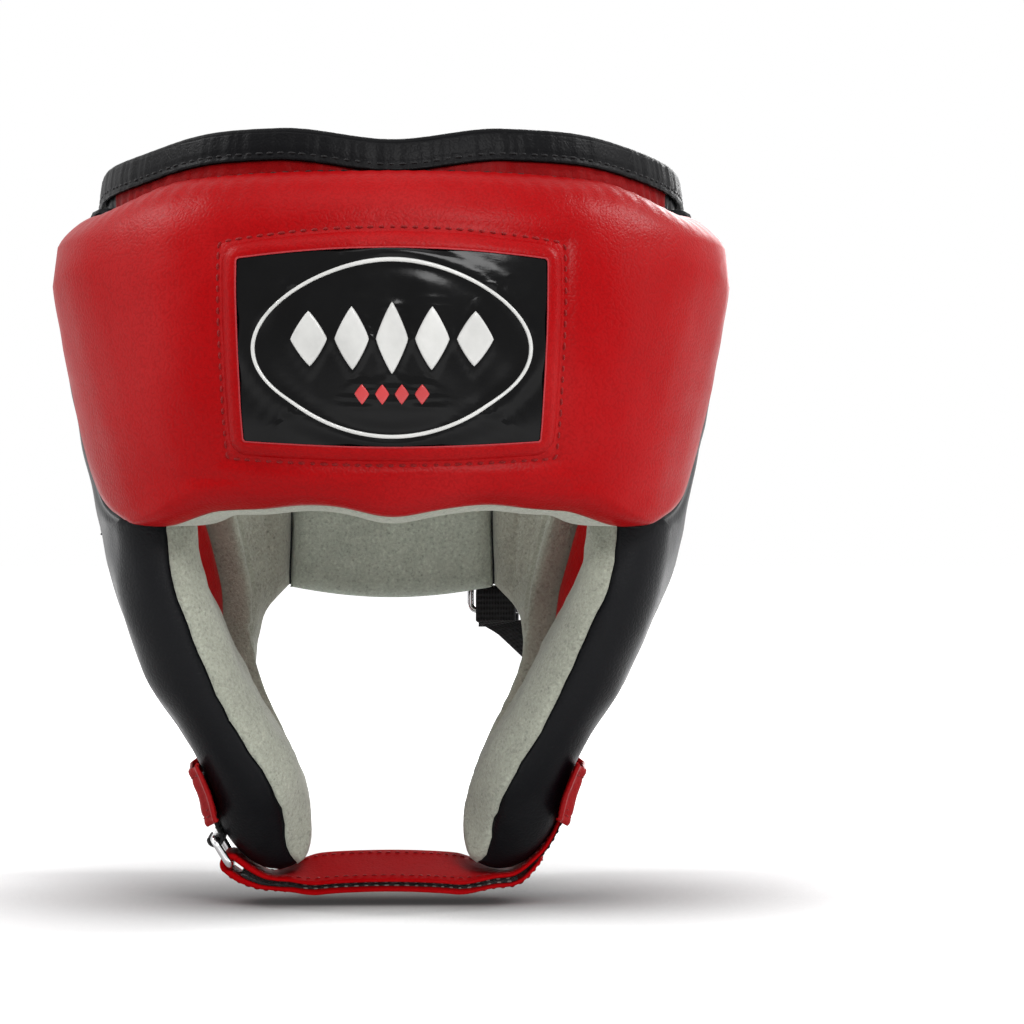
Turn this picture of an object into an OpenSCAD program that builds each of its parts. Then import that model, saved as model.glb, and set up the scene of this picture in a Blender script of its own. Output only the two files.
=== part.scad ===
// Boxing headgear: padded brow, side shells with stuffed ear rings, a rear pad on an elastic
// panel, two rear straps and a chin strap that threads a ring and folds back on itself.
// Millimetres. The face looks along -Y, +X is the wearer's left and Z is up. The origin is the
// centre of the wearer's head, midway between the ear openings.

/* [Head shell] */
// Half width of the padding's middle layer at the brow
brow_half_w = 99; // [93:1:105]
// Half width of the middle layer at ear level
ear_half_w = 82; // [79:1:85]
// Half width of the middle layer at the jaw
jaw_half_w = 60; // [56:1:64]
// Half width of the middle layer at the chin end of the cheeks
chin_half_w = 31; // [28:1:35]
// Reach of the middle layer from the ear line to the brow
brow_reach = 113; // [107:1:120]
// Reach of the middle layer from the ear line to the back of the head
rear_reach = 60; // [57:1:66]
// Height of the brow pad's upper edge above the ear line
brow_top_z = 117; // [112:1:122]
// Height of the brow pad's lower edge above the ear line
brow_low_z = 10; // [6:1:14]
// Depth of the cheeks' lower end below the ear line
chin_z = -105; // [-109:1:-102]

/* [Padding] */
// Thickness of the brow pad
brow_t = 30; // [24:1:34]
// Thickness of the side pads at the temples and cheeks
side_t = 30; // [24:1:33]
// Thickness of the pads at the back of the head
rear_t = 16; // [13:1:18]
// Thickness of the leather covers
cover_t = 1.6; // [1:0.1:2.2]
// Thickness of the suede linings
lining_t = 1.4; // [1:0.1:2]
// Clearance left between sewn pieces
gap = 0.3; // [0.2:0.05:0.4]

/* [Ear opening] */
// Half width of the ear ring, front to back
ring_half_w = 39.5; // [36:0.5:42]
// Half height of the ear ring
ring_half_h = 69.5; // [64:0.5:72]
// Height of the ear ring's centre
ring_z = -6; // [-9:1:-3]
// Width of the stuffed roll of the ear ring
roll_w = 26; // [22:1:28]
// Thickness of the stuffed roll, through the shell
roll_t = 31; // [28:1:34]
// Height of the ear strap
ear_strap_h = 28; // [20:1:36]
// Height of the ear strap's centre line
ear_strap_z = -4; // [-8:1:0]
// Diameter of the round patch on the ear strap
roundel_d = 19; // [12:1:24]

/* [Badge] */
// Width of the brow badge
badge_w = 100; // [80:1:108]
// Height of the brow badge
badge_h = 59; // [44:1:62]
// Height of the badge's centre above the ear line
badge_z = 60; // [56:1:64]
// Thickness of the badge plate
badge_t = 2.4; // [1.5:0.1:3]
// Width of the raised oval line
oval_line = 1.6; // [1:0.1:2.5]

/* [Collar and binding] */
// How far the collar's top stands above the brow pad at the centre
collar_rise = 12; // [9:1:15]
// Thickness of the collar leather
collar_t = 1.2; // [0.8:0.1:1.6]
// Height of the folded binding
binding_h = 11; // [8:0.5:13]
// Thickness of the binding leather
binding_t = 1.5; // [1:0.1:2]

/* [Chin strap] */
// Width of the chin strap
chin_strap_w = 26; // [22:1:30]
// Distance of the chin strap's middle in front of the ear line
chin_strap_y = 38; // [36:1:40]
// Thickness of each strap layer
strap_t = 2; // [1.4:0.1:2.4]
// Thickness of each hook or loop strip
fuzz_t = 1.3; // [1.2:0.1:1.6]
// Wire diameter of the chin ring
chin_wire_d = 2.5; // [2:0.1:2.6]
// Height of the chin ring, from bar to bar
chin_ring_h = 10; // [9:0.5:11]

/* [Rear straps] */
// Width of the upper rear strap
upper_strap_w = 44; // [36:1:45]
// Height of the upper rear strap's centre line
upper_strap_z = 61.5; // [60:0.5:64]
// Width of the lower rear strap
lower_strap_w = 50; // [44:1:54]
// Height of the lower rear strap's centre line
lower_strap_z = 11; // [9:1:12]
// Wire diameter of the rear ring
rear_wire_d = 2.5; // [2:0.1:2.6]
// Width of the rear ring, from upright to upright
rear_ring_w = 20; // [18:0.5:22]

/* [Hidden] */
$fn = 48;

RED = [0.69, 0.07, 0.08];
BLACK = [0.12, 0.12, 0.13];
SUEDE = [0.58, 0.60, 0.55];
FOAM = [0.75, 0.72, 0.55];
STEEL = [0.8, 0.8, 0.82];
WHITE = [0.92, 0.92, 0.92];

// ---- curves -------------------------------------------------------------------------------
function lerp(a, b, t) = a + (b - a) * t;
function clamp(x, lo, hi) = min(max(x, lo), hi);
// Height of a round edge at e, from 0 where it is full to 1 at the rim
function arch(e) = sqrt(max(1 - e * e, 0));
function smooth(x, lo, hi) = let (t = clamp((x - lo) / (hi - lo), 0, 1)) t * t * (3 - 2 * t);

// Cubic through four neighbouring points, at t between the middle two
function cubic(p, q, r, s, t) =
  0.5 * (2 * q + (r - p) * t + (2 * p - 5 * q + 4 * r - s) * t * t
         + (3 * q - p - 3 * r + s) * t * t * t);
// Smooth curve through a list of points, u from 0 to 1
function along(pts, u) =
  let (n = len(pts) - 1, i = min(floor(u * n), n - 1))
  cubic(pts[max(i - 1, 0)], pts[i], pts[i + 1], pts[min(i + 2, n)], u * n - i);

// Smooth value from a table of [height, value] pairs, straight on past its ends
function slope_at(tab, i) =
  let (a = tab[max(i - 1, 0)], b = tab[min(i + 1, len(tab) - 1)]) (b[1] - a[1]) / (b[0] - a[0]);
function station(tab, z, i = 0) =
  i < len(tab) - 2 && z > tab[i + 1][0] ? station(tab, z, i + 1)
  : let (h = tab[i + 1][0] - tab[i][0], t = (z - tab[i][0]) / h,
         p = tab[i][1], q = tab[i + 1][1],
         m = slope_at(tab, i) * h, n = slope_at(tab, i + 1) * h)
    t < 0 ? p + m * t
    : t > 1 ? q + n * (t - 1)
    : p + m * t + (3 * (q - p) - 2 * m - n) * t * t + (m + n - 2 * (q - p)) * t * t * t;

// ---- the middle layer of the padding --------------------------------------------------------
// Half widths by height, from the chin end of the cheeks to the crown
WIDTHS = [
  [chin_z, chin_half_w], [-92, lerp(chin_half_w, jaw_half_w, 0.40)],
  [-75, lerp(chin_half_w, jaw_half_w, 0.69)], [-57, jaw_half_w],
  [-30, lerp(jaw_half_w, ear_half_w, 0.56)], [0, ear_half_w],
  [40, lerp(ear_half_w, brow_half_w, 0.57)], [80, brow_half_w], [118, brow_half_w - 5]
];
cheek_reach = brow_reach + 9;
FRONTS = [
  [chin_z, cheek_reach], [-20, cheek_reach], [brow_low_z, brow_reach - 3],
  [45, brow_reach], [85, brow_reach], [118, brow_reach - 9]
];
SQUARES = [[-40, 3.3], [0, 3.1], [60, 2.6], [118, 2.5]];
// The back is rounder at the nape strap and squarer below it
function rear_square(z) = lerp(3.4, 2.4, smooth(z, -50, -16));

// a is the angle round the head: 0 at the face, 90 at the wearer's left ear, 180 behind
function half_w(z) = station(WIDTHS, z);
function reach(a, z) = cos(a) > 0 ? station(FRONTS, z) : rear_reach;
function square_at(a, z) = cos(a) > 0 ? station(SQUARES, z) : rear_square(z);
function radius(a, z) =
  let (n = square_at(a, z))
  pow(pow(abs(sin(a)) / half_w(z), n) + pow(abs(cos(a)) / reach(a, z), n), -1 / n);
function mid(a, z) = let (r = radius(a, z)) [r * sin(a), -r * cos(a), z];
function normal(a, z) =
  let (n = cross(mid(a + 1, z) - mid(a - 1, z), mid(a, z + 2) - mid(a, z - 2))) n / norm(n);
// A point n outside the middle layer
function surf(a, z, n) = mid(a, z) + n * normal(a, z);
// The angle at which the middle layer's side has the given y
function angle_of(y, z) =
  let (s = y < 0 ? 45 : 135, n = square_at(s, z), b = reach(s, z))
  atan2(half_w(z) * pow(1 - pow(min(abs(y) / b, 0.999), n), 1 / n), -y);
// Degrees round the head for a length at angle a
function turn(a, z, length) = length / norm(mid(a + 0.5, z) - mid(a - 0.5, z));

// ---- solids from grids of points ------------------------------------------------------------
// Closed slab between two grids of points of the same size. Columns run round the head.
module slab(outer, inner) {
  rows = len(outer);
  cols = len(outer[0]);
  n = rows * cols;
  pts = [for (g = [outer, inner]) for (r = g) for (p = r) p];
  sheet = [for (i = [0:rows - 2]) for (j = [0:cols - 2])
    [i * cols + j, i * cols + j + 1, (i + 1) * cols + j + 1, (i + 1) * cols + j]];
  rim = concat(
    [for (j = [0:cols - 1]) j],
    [for (i = [1:rows - 1]) i * cols + cols - 1],
    [for (j = [cols - 2:-1:0]) (rows - 1) * cols + j],
    [for (i = [rows - 2:-1:1]) i * cols]);
  k = len(rim);
  faces = concat(
    [for (q = sheet) each [[n + q[0], n + q[2], n + q[3]], [n + q[0], n + q[1], n + q[2]]]],
    [for (i = [0:k - 1]) let (a = rim[i], b = rim[(i + 1) % k])
      each [[a, b, n + b], [a, n + b, n + a]]],
    [for (q = sheet) each [[q[0], q[3], q[2]], [q[0], q[2], q[1]]]]);
  polyhedron(pts, faces, convexity = 6);
}

// Closed tube round a loop of cross-sections, each a closed ring of points. Where a section
// comes back over itself, from point fold on, the facets are cut the other way, so layers nest.
module ring_solid(rings, fold = 1000) {
  m = len(rings);
  k = len(rings[0]);
  faces = [for (i = [0:m - 1]) for (j = [0:k - 1])
    let (a = i * k + j, b = i * k + (j + 1) % k,
         c = (i + 1) % m * k + (j + 1) % k, d = (i + 1) % m * k + j)
    each j < fold ? [[a, b, c], [a, c, d]] : [[a, b, d], [b, c, d]]];
  polyhedron([for (r = rings) for (p = r) p], faces, convexity = 8);
}

// Tube along a row of cross-sections, closed at both ends
module swept(rings) {
  m = len(rings);
  k = len(rings[0]);
  sides = [for (i = [0:m - 2]) for (j = [0:k - 1])
    let (a = i * k + j, b = i * k + (j + 1) % k, c = a + k, d = b + k)
    each [[a, b, d], [a, d, c]]];
  caps = [[for (j = [k - 1:-1:0]) j], [for (j = [0:k - 1]) (m - 1) * k + j]];
  polyhedron([for (r = rings) for (p = r) p], concat(sides, caps), convexity = 6);
}

module on_side(side) mirror([side < 0 ? 1 : 0, 0, 0]) children();

// ---- edges of the side shell, as [y, height] -------------------------------------------------
corner_y = -80;
SEAM = [[-46, brow_top_z - 6], [-47, 76], [-51, 44], [-62, 20], [corner_y, brow_low_z]];
FACE_EDGE = [[corner_y, brow_low_z], [-82, -20], [-78, -58], [-66, -86], [-48, chin_z]];
JAW_EDGE = [
  [-48, chin_z], [-30, chin_z], [-9, -97], [19, -81], [34, -68.5], [45, -57], [51.3, -45],
  [52.3, -34], [52.5, -24], [57, -15]
];
REAR_EDGE = [[57, -15], [57, 20], [57, 88]];
TOP_EDGE = [[57, 88], [30, 101], [0, 107], [-46, brow_top_z - 6]];
EDGES = [SEAM, FACE_EDGE, JAW_EDGE, REAR_EDGE, TOP_EDGE];
EDGE_STEPS = [6, 6, 8, 6, 6];
EDGE_ROUND = [4, 16, 14, 9, 20];

// Samples round the whole edge: [angle, height, rounding]
EDGE = [for (e = [0:len(EDGES) - 1]) for (i = [0:EDGE_STEPS[e] - 1])
  let (u = i / EDGE_STEPS[e], p = along(EDGES[e], u),
       before = EDGE_ROUND[(e + len(EDGES) - 1) % len(EDGES)],
       r = lerp(i == 0 ? (before + EDGE_ROUND[e]) / 2 : EDGE_ROUND[e], EDGE_ROUND[e], u))
  [angle_of(p[0], p[1]), p[1], r]];
EDGE_Y = [for (e = [0:len(EDGES) - 1]) for (i = [0:EDGE_STEPS[e] - 1])
  along(EDGES[e], i / EDGE_STEPS[e])];

// The ear ring's outline at angle t, grown by g: an oval that narrows to a blunt point below
function ear_oval(t, half_y, half_z, point) =
  let (low = max(-sin(t), 0))
  [half_y * cos(t) * (1 - point * low * low), ring_z + half_z * sin(t)];
ring_margin = gap / 2;
function ear_edge(t, g) = ear_oval(t, ring_half_w + g, ring_half_h + g, 0.14);
function ear_hole(t, g) =
  ear_oval(t, ring_half_w - roll_w + g, ring_half_h - roll_w - 3.5 + g, 0.3);
function ear_angle(p) = atan2((p[1] - ring_z) / ring_half_h, p[0] / ring_half_w);

// ---- side shell ------------------------------------------------------------------------------
// Half the thickness of the side pad: full at the cheek, thin behind
function side_half(a, z) =
  let (fade = smooth(a, 112, 147), low = smooth(z, -70, chin_z))
  lerp(lerp(side_t, side_t - 5, low), rear_t, fade) / 2;

ear_round = 9;
ARC = [0, 50, 90];

// Points across the side pad from the ear ring to its edge, inset by d, on one face (sign)
function side_row(k, d, sign) =
  let (e = EDGE[k], t = ear_angle(EDGE_Y[k]), q = ear_edge(t, ring_margin),
       i = [angle_of(q[0], q[1]), q[1]],
       length = norm(surf(i[0], i[1], 0) - surf(e[0], e[1], 0)),
       fit = min(1, 0.92 * length / (ear_round + e[2])),
       r1 = ear_round * fit, r2 = e[2] * fit,
       steps = concat(
         [for (f = ARC) [d + (r1 - d) * (1 - cos(f)), sin(f)]],
         [for (f = [1, 2] / 3) [lerp(r1, length - r2, f), 1]],
         [for (f = [90, 50, 0]) [length - d - (r2 - d) * (1 - cos(f)), sin(f)]]))
  [for (s = steps) let (u = s[0] / length, a = lerp(i[0], e[0], u), z = lerp(i[1], e[1], u))
    surf(a, z, sign * max((side_half(a, z) - d) * s[1], gap / 2))];

module side_layer(sign, depth) {
  rings = [for (k = [0:len(EDGE) - 1])
    let (outer = side_row(k, gap / 2, sign), inner = side_row(k, depth, sign),
         n = len(outer), ring = concat(outer, [for (j = [n - 1:-1:0]) inner[j]]))
    sign < 0 ? ring : [for (j = [len(ring) - 1:-1:0]) ring[j]]];
  ring_solid(rings, len(rings[0]) / 2);
}

module side_foam(side) {
  depth = max(cover_t, lining_t) + gap;
  rings = [for (k = [0:len(EDGE) - 1])
    let (outer = side_row(k, depth, 1), inner = side_row(k, depth, -1), n = len(outer))
    concat(inner, [for (j = [n - 1:-1:0]) outer[j]])];
  color(FOAM) on_side(side) ring_solid(rings, len(rings[0]) / 2);
}
module side_cover(side) color(BLACK) on_side(side) side_layer(1, cover_t + gap / 2);
module side_lining(side) color(SUEDE) on_side(side) side_layer(-1, lining_t + gap / 2);

// ---- ear ring, strap and round patch -----------------------------------------------------------
roll_steps = 8;

// Points round the stuffed roll at ring angle t
function roll_section(t) =
  let (p = ear_hole(t, 0), q = ear_edge(t, -ring_margin),
       c = (p + q) / 2, h = (q - p) / 2)
  [for (j = [0:roll_steps - 1])
    let (f = 360 * j / roll_steps, y = c + h * cos(f)) surf(angle_of(y[0], y[1]), y[1],
      roll_t / 2 * sin(f))];
module ear_ring(side) color(RED) on_side(side)
  ring_solid([for (p = EDGE_Y) roll_section(ear_angle(p))]);

// Where the ear strap lies, from one groove beside the ring to the other: [y, offset]
strap_tuck = 4;
strap_inset = 2.6;
function ear_strap_line(u) =
  let (y = lerp(-1, 1, u) * (ring_half_w - strap_inset), crest = ring_half_w - roll_w / 2,
       e = max(abs(y) - crest, 0) / (ring_half_w - crest))
  [y, lerp(roll_t / 2, strap_tuck, 1 - arch(e)) + 0.6];
ear_strap_t = 1.8;
STRAP_STOPS = [0, 0.03, 0.07, 0.12, 0.17, 0.3, 0.42, 0.5, 0.58, 0.7, 0.83, 0.88, 0.93, 0.97, 1];
function ear_strap_grid(rise) =
  [for (dz = [-0.5, 0, 0.5] * ear_strap_h) let (z = ear_strap_z + dz)
    [for (u = STRAP_STOPS) let (p = ear_strap_line(u)) surf(angle_of(p[0], z), z, p[1] + rise)]];
module ear_strap(side) color(BLACK) on_side(side)
  slab(ear_strap_grid(ear_strap_t), ear_strap_grid(0));

module ear_roundel(side) {
  a = angle_of(0, ear_strap_z);
  n = normal(a, ear_strap_z);
  color(RED) on_side(side)
    translate(surf(a, ear_strap_z, roll_t / 2 + 0.6 + ear_strap_t + gap))
      rotate([0, 90 - asin(n[2]), 0]) difference() {
        cylinder(h = 1.2, d = roundel_d);
        translate([0, 0, 0.8]) difference() {
          cylinder(h = 1, d = roundel_d - 3);
          translate([0, 0, -1]) cylinder(h = 3, d = roundel_d - 6);
        }
      }
}

// ---- brow pad -----------------------------------------------------------------------------------
brow_h = brow_top_z - brow_low_z;
BROW_U = [-1, -0.985, -0.955, -0.8, -0.6, -0.4, -0.14, 0.14, 0.4, 0.6, 0.8, 0.955, 0.985, 1];
brow_low_round = 13;
brow_top_round = 22;
// Rows up the brow pad: [share of the height, share of the thickness]
BROW_V = concat(
  [for (f = [0, 30, 60, 90]) [brow_low_round * (1 - cos(f)) / brow_h, sin(f)]],
  [[0.35, 1], [0.6, 1]],
  [for (f = [90, 60, 30, 0]) [1 - brow_top_round * (1 - cos(f)) / brow_h, sin(f)]]);

// Angle and height of the brow pad at u across (-1 to 1) and v up (0 to 1)
function brow_place(u, v) =
  let (s = along(SEAM, 1 - v), edge = angle_of(s[0], s[1]),
       mid_z = lerp(brow_low_z + 1, brow_top_z, v))
  [u * edge, lerp(mid_z, s[1], pow(abs(u), 2.2))];
function brow_grid(d, sign) =
  [for (r = BROW_V)
    let (v = lerp(d / brow_h, 1 - d / brow_h, r[0]))
    [for (w = BROW_U)
      let (u = w * (1 - (d + gap) / 118), p = brow_place(u, v),
           side = arch(max(abs(w) - 0.955, 0) / 0.045))
      surf(p[0], p[1], sign * max((brow_t / 2 - d) * r[1] * side, gap / 2))]];

module brow_cover() color(RED) slab(brow_grid(gap / 2, 1), brow_grid(cover_t + gap / 2, 1));
module brow_lining() color(SUEDE) slab(brow_grid(lining_t + gap / 2, -1), brow_grid(gap / 2, -1));
module brow_foam() {
  depth = max(cover_t, lining_t) + gap;
  color(FOAM) slab(brow_grid(depth, 1), brow_grid(depth, -1));
}

// ---- badge ----------------------------------------------------------------------------------------
badge_seat = brow_t / 2 + gap;
function badge_grid(n) =
  [for (v = [-0.5:0.25:0.5]) [for (u = [-0.5:0.125:0.5])
    let (z = badge_z + badge_h * v * (1 - 0.04 * u * u), a = asin(badge_w * u / brow_reach * 0.88))
    surf(a, z, n)]];
module badge_plate() color(BLACK) slab(badge_grid(badge_seat + badge_t), badge_grid(badge_seat));

oval_half_w = badge_w * 0.45;
oval_half_h = badge_h * 0.44;
function oval_section(t) =
  [for (c = [[0, 0], [0, 1], [1, 1], [1, 0]])
    let (x = (oval_half_w - c[0] * oval_line) * cos(t), z = (oval_half_h - c[0] * oval_line) * sin(t))
    surf(asin(x / brow_reach * 0.88), badge_z + z, badge_seat + badge_t + 0.1 + c[1] * 0.8)];
module badge_oval() color(WHITE) ring_solid([for (i = [0:39]) oval_section(9 * i)]);

// ---- collar and binding -----------------------------------------------------------------------------
// Height of the pads' upper rim at the middle layer, by angle
function rim_z(a) =
  let (s = abs(a), seam = angle_of(SEAM[0][0], SEAM[0][1]))
  s <= seam ? lerp(brow_top_z, SEAM[0][1], pow(s / seam, 2.2))
  : along([for (p = [3, 2, 1, 0]) [angle_of(TOP_EDGE[p][0], TOP_EDGE[p][1]), TOP_EDGE[p][1]]],
      clamp(find_share(s), 0, 1))[1];
// Share of the way along the top edge at angle s
function find_share(s) =
  let (f = [for (p = [3, 2, 1, 0]) angle_of(TOP_EDGE[p][0], TOP_EDGE[p][1])],
       i = s < f[1] ? 0 : s < f[2] ? 1 : 2)
  (i + (s - f[i]) / (f[i + 1] - f[i])) / 3;
// Height of the collar's top: a shallow dip at the brow's centre, lower at the sides and rear
function collar_z(a) =
  let (s = abs(a)) brow_top_z + collar_rise + 4 * smooth(s, 0, 20) - 10 * smooth(s, 30, 85)
  - 19 * smooth(s, 100, 150);
seam_angle = angle_of(SEAM[0][0], SEAM[0][1]);
rear_angle = angle_of(REAR_EDGE[2][0], REAR_EDGE[2][1]);
// Stations shared by the collar and the binding, as shares of one stretch
COLLAR_STEPS = 10;
BROW_A = [for (i = [-COLLAR_STEPS:COLLAR_STEPS]) seam_angle * i / COLLAR_STEPS];
SIDE_A = [for (i = [0:COLLAR_STEPS]) lerp(seam_angle, rear_angle, i / COLLAR_STEPS)];
function collar_grid(angles, n) =
  [for (v = [0, 0.5, 1]) [for (a = angles)
    let (low = rim_z(a) + gap, top = collar_z(a) - binding_t - gap) surf(a, lerp(low, top, v), n)]];
module collar(angles) slab(collar_grid(angles, collar_t / 2), collar_grid(angles, -collar_t / 2));
function inset(list, by) =
  [for (i = [0:len(list) - 1]) list[i] + (i == 0 ? by : i == len(list) - 1 ? -by : 0)];
module brow_collar() color(RED) collar(inset(BROW_A, 0.15));
module side_collar(side) color(BLACK) on_side(side) collar(inset(SIDE_A, 0.15));

binding_half = collar_t / 2 + gap + binding_t;
// The folded binding's section: out, over the collar's top and down inside
BINDING_FOLD = [for (p = [
  [binding_half, -1], [binding_half, -0.15], [0.6 * binding_half, 0], [-0.6 * binding_half, 0],
  [-binding_half, -0.15], [-binding_half, -1]]) p];
function binding_section(a) =
  let (z = collar_z(a), wall = binding_t)
  concat(
    [for (p = BINDING_FOLD) surf(a, z + p[1] * binding_h, p[0])],
    [for (p = [[-1, -1], [-1, 0], [1, 0], [1, -1]])
      surf(a, p[1] == 0 ? z - wall : z - binding_h, p[0] * (binding_half - wall))]);
module top_binding() color(BLACK)
  swept([for (a = concat([for (i = [COLLAR_STEPS:-1:1]) -SIDE_A[i]], BROW_A,
                         [for (i = [1:COLLAR_STEPS]) SIDE_A[i]])) binding_section(a)]);

// ---- back of the head ---------------------------------------------------------------------------------
rear_margin = 0.55;
rear_pad_top = 91;
rear_pad_low = -20;
REAR_U = [-1, -0.96, -0.85, -0.5, 0, 0.5, 0.85, 0.96, 1];
function rear_half_a(z) = 180 - angle_of(REAR_EDGE[0][0], z) - rear_margin;
function rear_grid(d, sign) =
  [for (r = [[0, 0], [0.03, 0.7], [0.09, 1], [0.35, 1], [0.65, 1], [0.91, 1], [0.97, 0.7], [1, 0]])
    [for (w = REAR_U)
      let (u = w * (1 - d / 38), side = arch(max(abs(w) - 0.82, 0) / 0.18),
           z = lerp(rear_pad_low + d + 4 * u * u, rear_pad_top - d, r[0]))
      surf(180 + u * rear_half_a(z), z, sign * max((rear_t / 2 - d) * r[1] * side, gap / 2))]];
module rear_pad_cover() color(BLACK) slab(rear_grid(gap / 2, 1), rear_grid(cover_t + gap / 2, 1));
module rear_pad_lining() color(SUEDE) slab(rear_grid(lining_t + gap / 2, -1), rear_grid(gap / 2, -1));
module rear_pad_foam() {
  depth = max(cover_t, lining_t) + gap;
  color(FOAM) slab(rear_grid(depth, 1), rear_grid(depth, -1));
}

elastic_t = 1.6;
elastic_seat = rear_t / 2 + gap;
elastic_low = 38;
elastic_top = 98;
elastic_from = 143;
elastic_grid = function (n) [for (z = [elastic_low, elastic_top])
  [for (i = [0:14]) surf(lerp(elastic_from, 360 - elastic_from, i / 14), z, n)]];
module rear_elastic() color(BLACK)
  slab(elastic_grid(elastic_seat + elastic_t), elastic_grid(elastic_seat));

// ---- cheek patches -----------------------------------------------------------------------------
patch_t = 1.6;
patch_low = -86;
patch_high = -67;
// A point over the outer face of the cheek, by the place in the middle layer below it
function cheek_point(y, z, rise) =
  let (a = angle_of(y, z)) surf(a, z, side_half(a, z) + rise);
patch_bulge = chin_strap_w / 2 + 2.5;
// The patch lies on the cheek and bulges over the strap below its middle
function patch_grid(n) = [for (v = [0, 0.33, 0.67, 1])
  let (z = lerp(patch_low, patch_high, v), front = lerp(25.5, 31, v), rear = lerp(17.5, 23, v))
  [for (d = [-front, -patch_bulge - 6, -patch_bulge - 3, -patch_bulge, -7, 0, 7, patch_bulge,
             (patch_bulge + rear) / 2, rear])
    let (over = smooth(abs(d), patch_bulge + 4, patch_bulge), e = (d + front) / (front + rear) * 2 - 1)
    cheek_point(d - chin_strap_y, z + 1.5 * e * e, gap + over * (strap_t + 2 * gap) + n)]];
module cheek_patch(side) color(RED) on_side(side) slab(patch_grid(patch_t), patch_grid(0));

// ---- strap bands -------------------------------------------------------------------------------
// Layers of a folded strap, outward from its seat: leather, loop strip, hook strip, leather.
// The wire of the ring fits between the two leathers.
hook_gap = gap + 0.1;
layer_gap = 0.1;
loop_from = strap_t + layer_gap;
hook_from = loop_from + fuzz_t + hook_gap;
tail_from = hook_from + fuzz_t + layer_gap;
tail_to = tail_from + strap_t;
wire_at = (strap_t + tail_from) / 2;
function fold_steps() = [for (i = [0:8]) 180 * i / 8];

// ---- chin strap --------------------------------------------------------------------------------
chin_seat = gap;
function flat_point(y, z, rise) = let (p = cheek_point(y, z, rise)) [p[0], p[2]];
function chin_side(z) = flat_point(-chin_strap_y, z, chin_seat);
under_x = chin_half_w + 12.5;
under_z = chin_z - 3.6;
function flip(p) = [-p[0], p[1]];
ring_top_z = patch_low - 3.2;
ring_loop_t = 1.4;
// The wearer's right cheek: outward direction beside the ring, and the ring's bars
ring_seat = flat_point(-chin_strap_y, ring_top_z, chin_seat);
ring_out = let (q = flat_point(-chin_strap_y, ring_top_z, chin_seat + 1)) q - ring_seat;
ring_down = [-ring_out[1], ring_out[0]] * -1;
top_bar = ring_seat + ring_out * (ring_loop_t + gap + chin_wire_d / 2);
low_bar = let (d = [-0.53, -0.85]) top_bar + d * chin_ring_h;
bar_out = [0.72, -0.694];
chin_end = low_bar - bar_out * wire_at;

// The strap's seat line in the vertical plane through its middle, from the left cheek, under
// the chin and up to the ring at the right cheek
CHIN_LINE = concat(
  [for (z = [-70, -75, -80, -85, -90, -94]) chin_side(z)],
  [[under_x, under_z], [under_x - 8, under_z - 0.4], [19, under_z + 1], [0, under_z + 1.6],
   [-19, under_z + 1.1], flip([under_x - 11.5, under_z - 0.3]), flip([under_x - 2.5, under_z - 1.1]),
   flip(chin_end)]);
function chin_tangent(u) =
  let (d = along(CHIN_LINE, min(u + 0.004, 1)) - along(CHIN_LINE, max(u - 0.004, 0))) d / norm(d);
function chin_place(u, n) =
  let (t = u > 0.985 ? flip(bar_out) : let (d = chin_tangent(u)) [-d[1], d[0]])
  along(CHIN_LINE, u) + n * t;
// The strap leans forward where it hangs free under the chin
function chin_lean(x) = 0.3 * smooth(abs(x), under_x - 6, under_x - 24);
function chin_row(u, n, half) =
  let (p = chin_place(u, n))
  [for (v = [1, strip_share, -strip_share, -1])
    [p[0], -chin_strap_y + v * half, p[1] + chin_lean(p[0]) * v * half]];
chin_half = chin_strap_w / 2;
strip_edge = 2;
strip_share = (chin_half - strip_edge) / chin_half;
// All layers share these stations along the strap
CHIN_STEPS = 26;
CHIN_U = [for (i = [0:CHIN_STEPS]) i / CHIN_STEPS];
// A strip on the strap's inner columns
module chin_strip(from, to, n0) {
  grid = function (n) [for (i = [from:to]) let (r = chin_row(CHIN_U[i], n, chin_half)) [r[1], r[2]]];
  color(BLACK) slab(grid(n0 + fuzz_t), grid(n0));
}
// First and last station of the strips, and the station where the tail's round end closes
chin_strips = [12, 22];
chin_tail_tip = 10;
// The fold round the ring's lower bar, as points of a wall r out from the bar
function chin_fold_row(f, r) =
  let (c = flip(low_bar), o = flip(bar_out), up = [o[1], -o[0]],
       p = c + r * (-cos(f) * o + sin(f) * up))
  [for (v = [1, strip_share, -strip_share, -1]) [p[0], -chin_strap_y + v * chin_half, p[1]]];
fold_in = wire_at - strap_t;
fold_out = wire_at;
module chin_strap() color(RED) slab(
  concat([for (u = CHIN_U) chin_row(u, strap_t, chin_half)],
         [for (f = fold_steps()) if (f > 0) chin_fold_row(f, fold_in)]),
  concat([for (u = CHIN_U) chin_row(u, 0, chin_half)],
         [for (f = fold_steps()) if (f > 0) chin_fold_row(f, fold_out)]));
module chin_loop_strip() chin_strip(chin_strips[0], chin_strips[1], loop_from);
module chin_hook_strip() chin_strip(chin_strips[0], chin_strips[1], hook_from);
module chin_strap_tail() {
  tip = CHIN_U[chin_tail_tip];
  reach = CHIN_U[chin_strips[0]] - tip;
  us = concat([for (i = [0, 0.06, 0.2, 0.45]) tip + reach * i],
              [for (i = [chin_strips[0]:CHIN_STEPS - 1]) CHIN_U[i]], [0.992]);
  half = function (u) chin_half * arch(1 - clamp((u - tip) / reach, 0.02, 1));
  color(RED) slab([for (u = us) chin_row(u, tail_to, half(u))],
                  [for (u = us) chin_row(u, tail_from, half(u))]);
}

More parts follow.
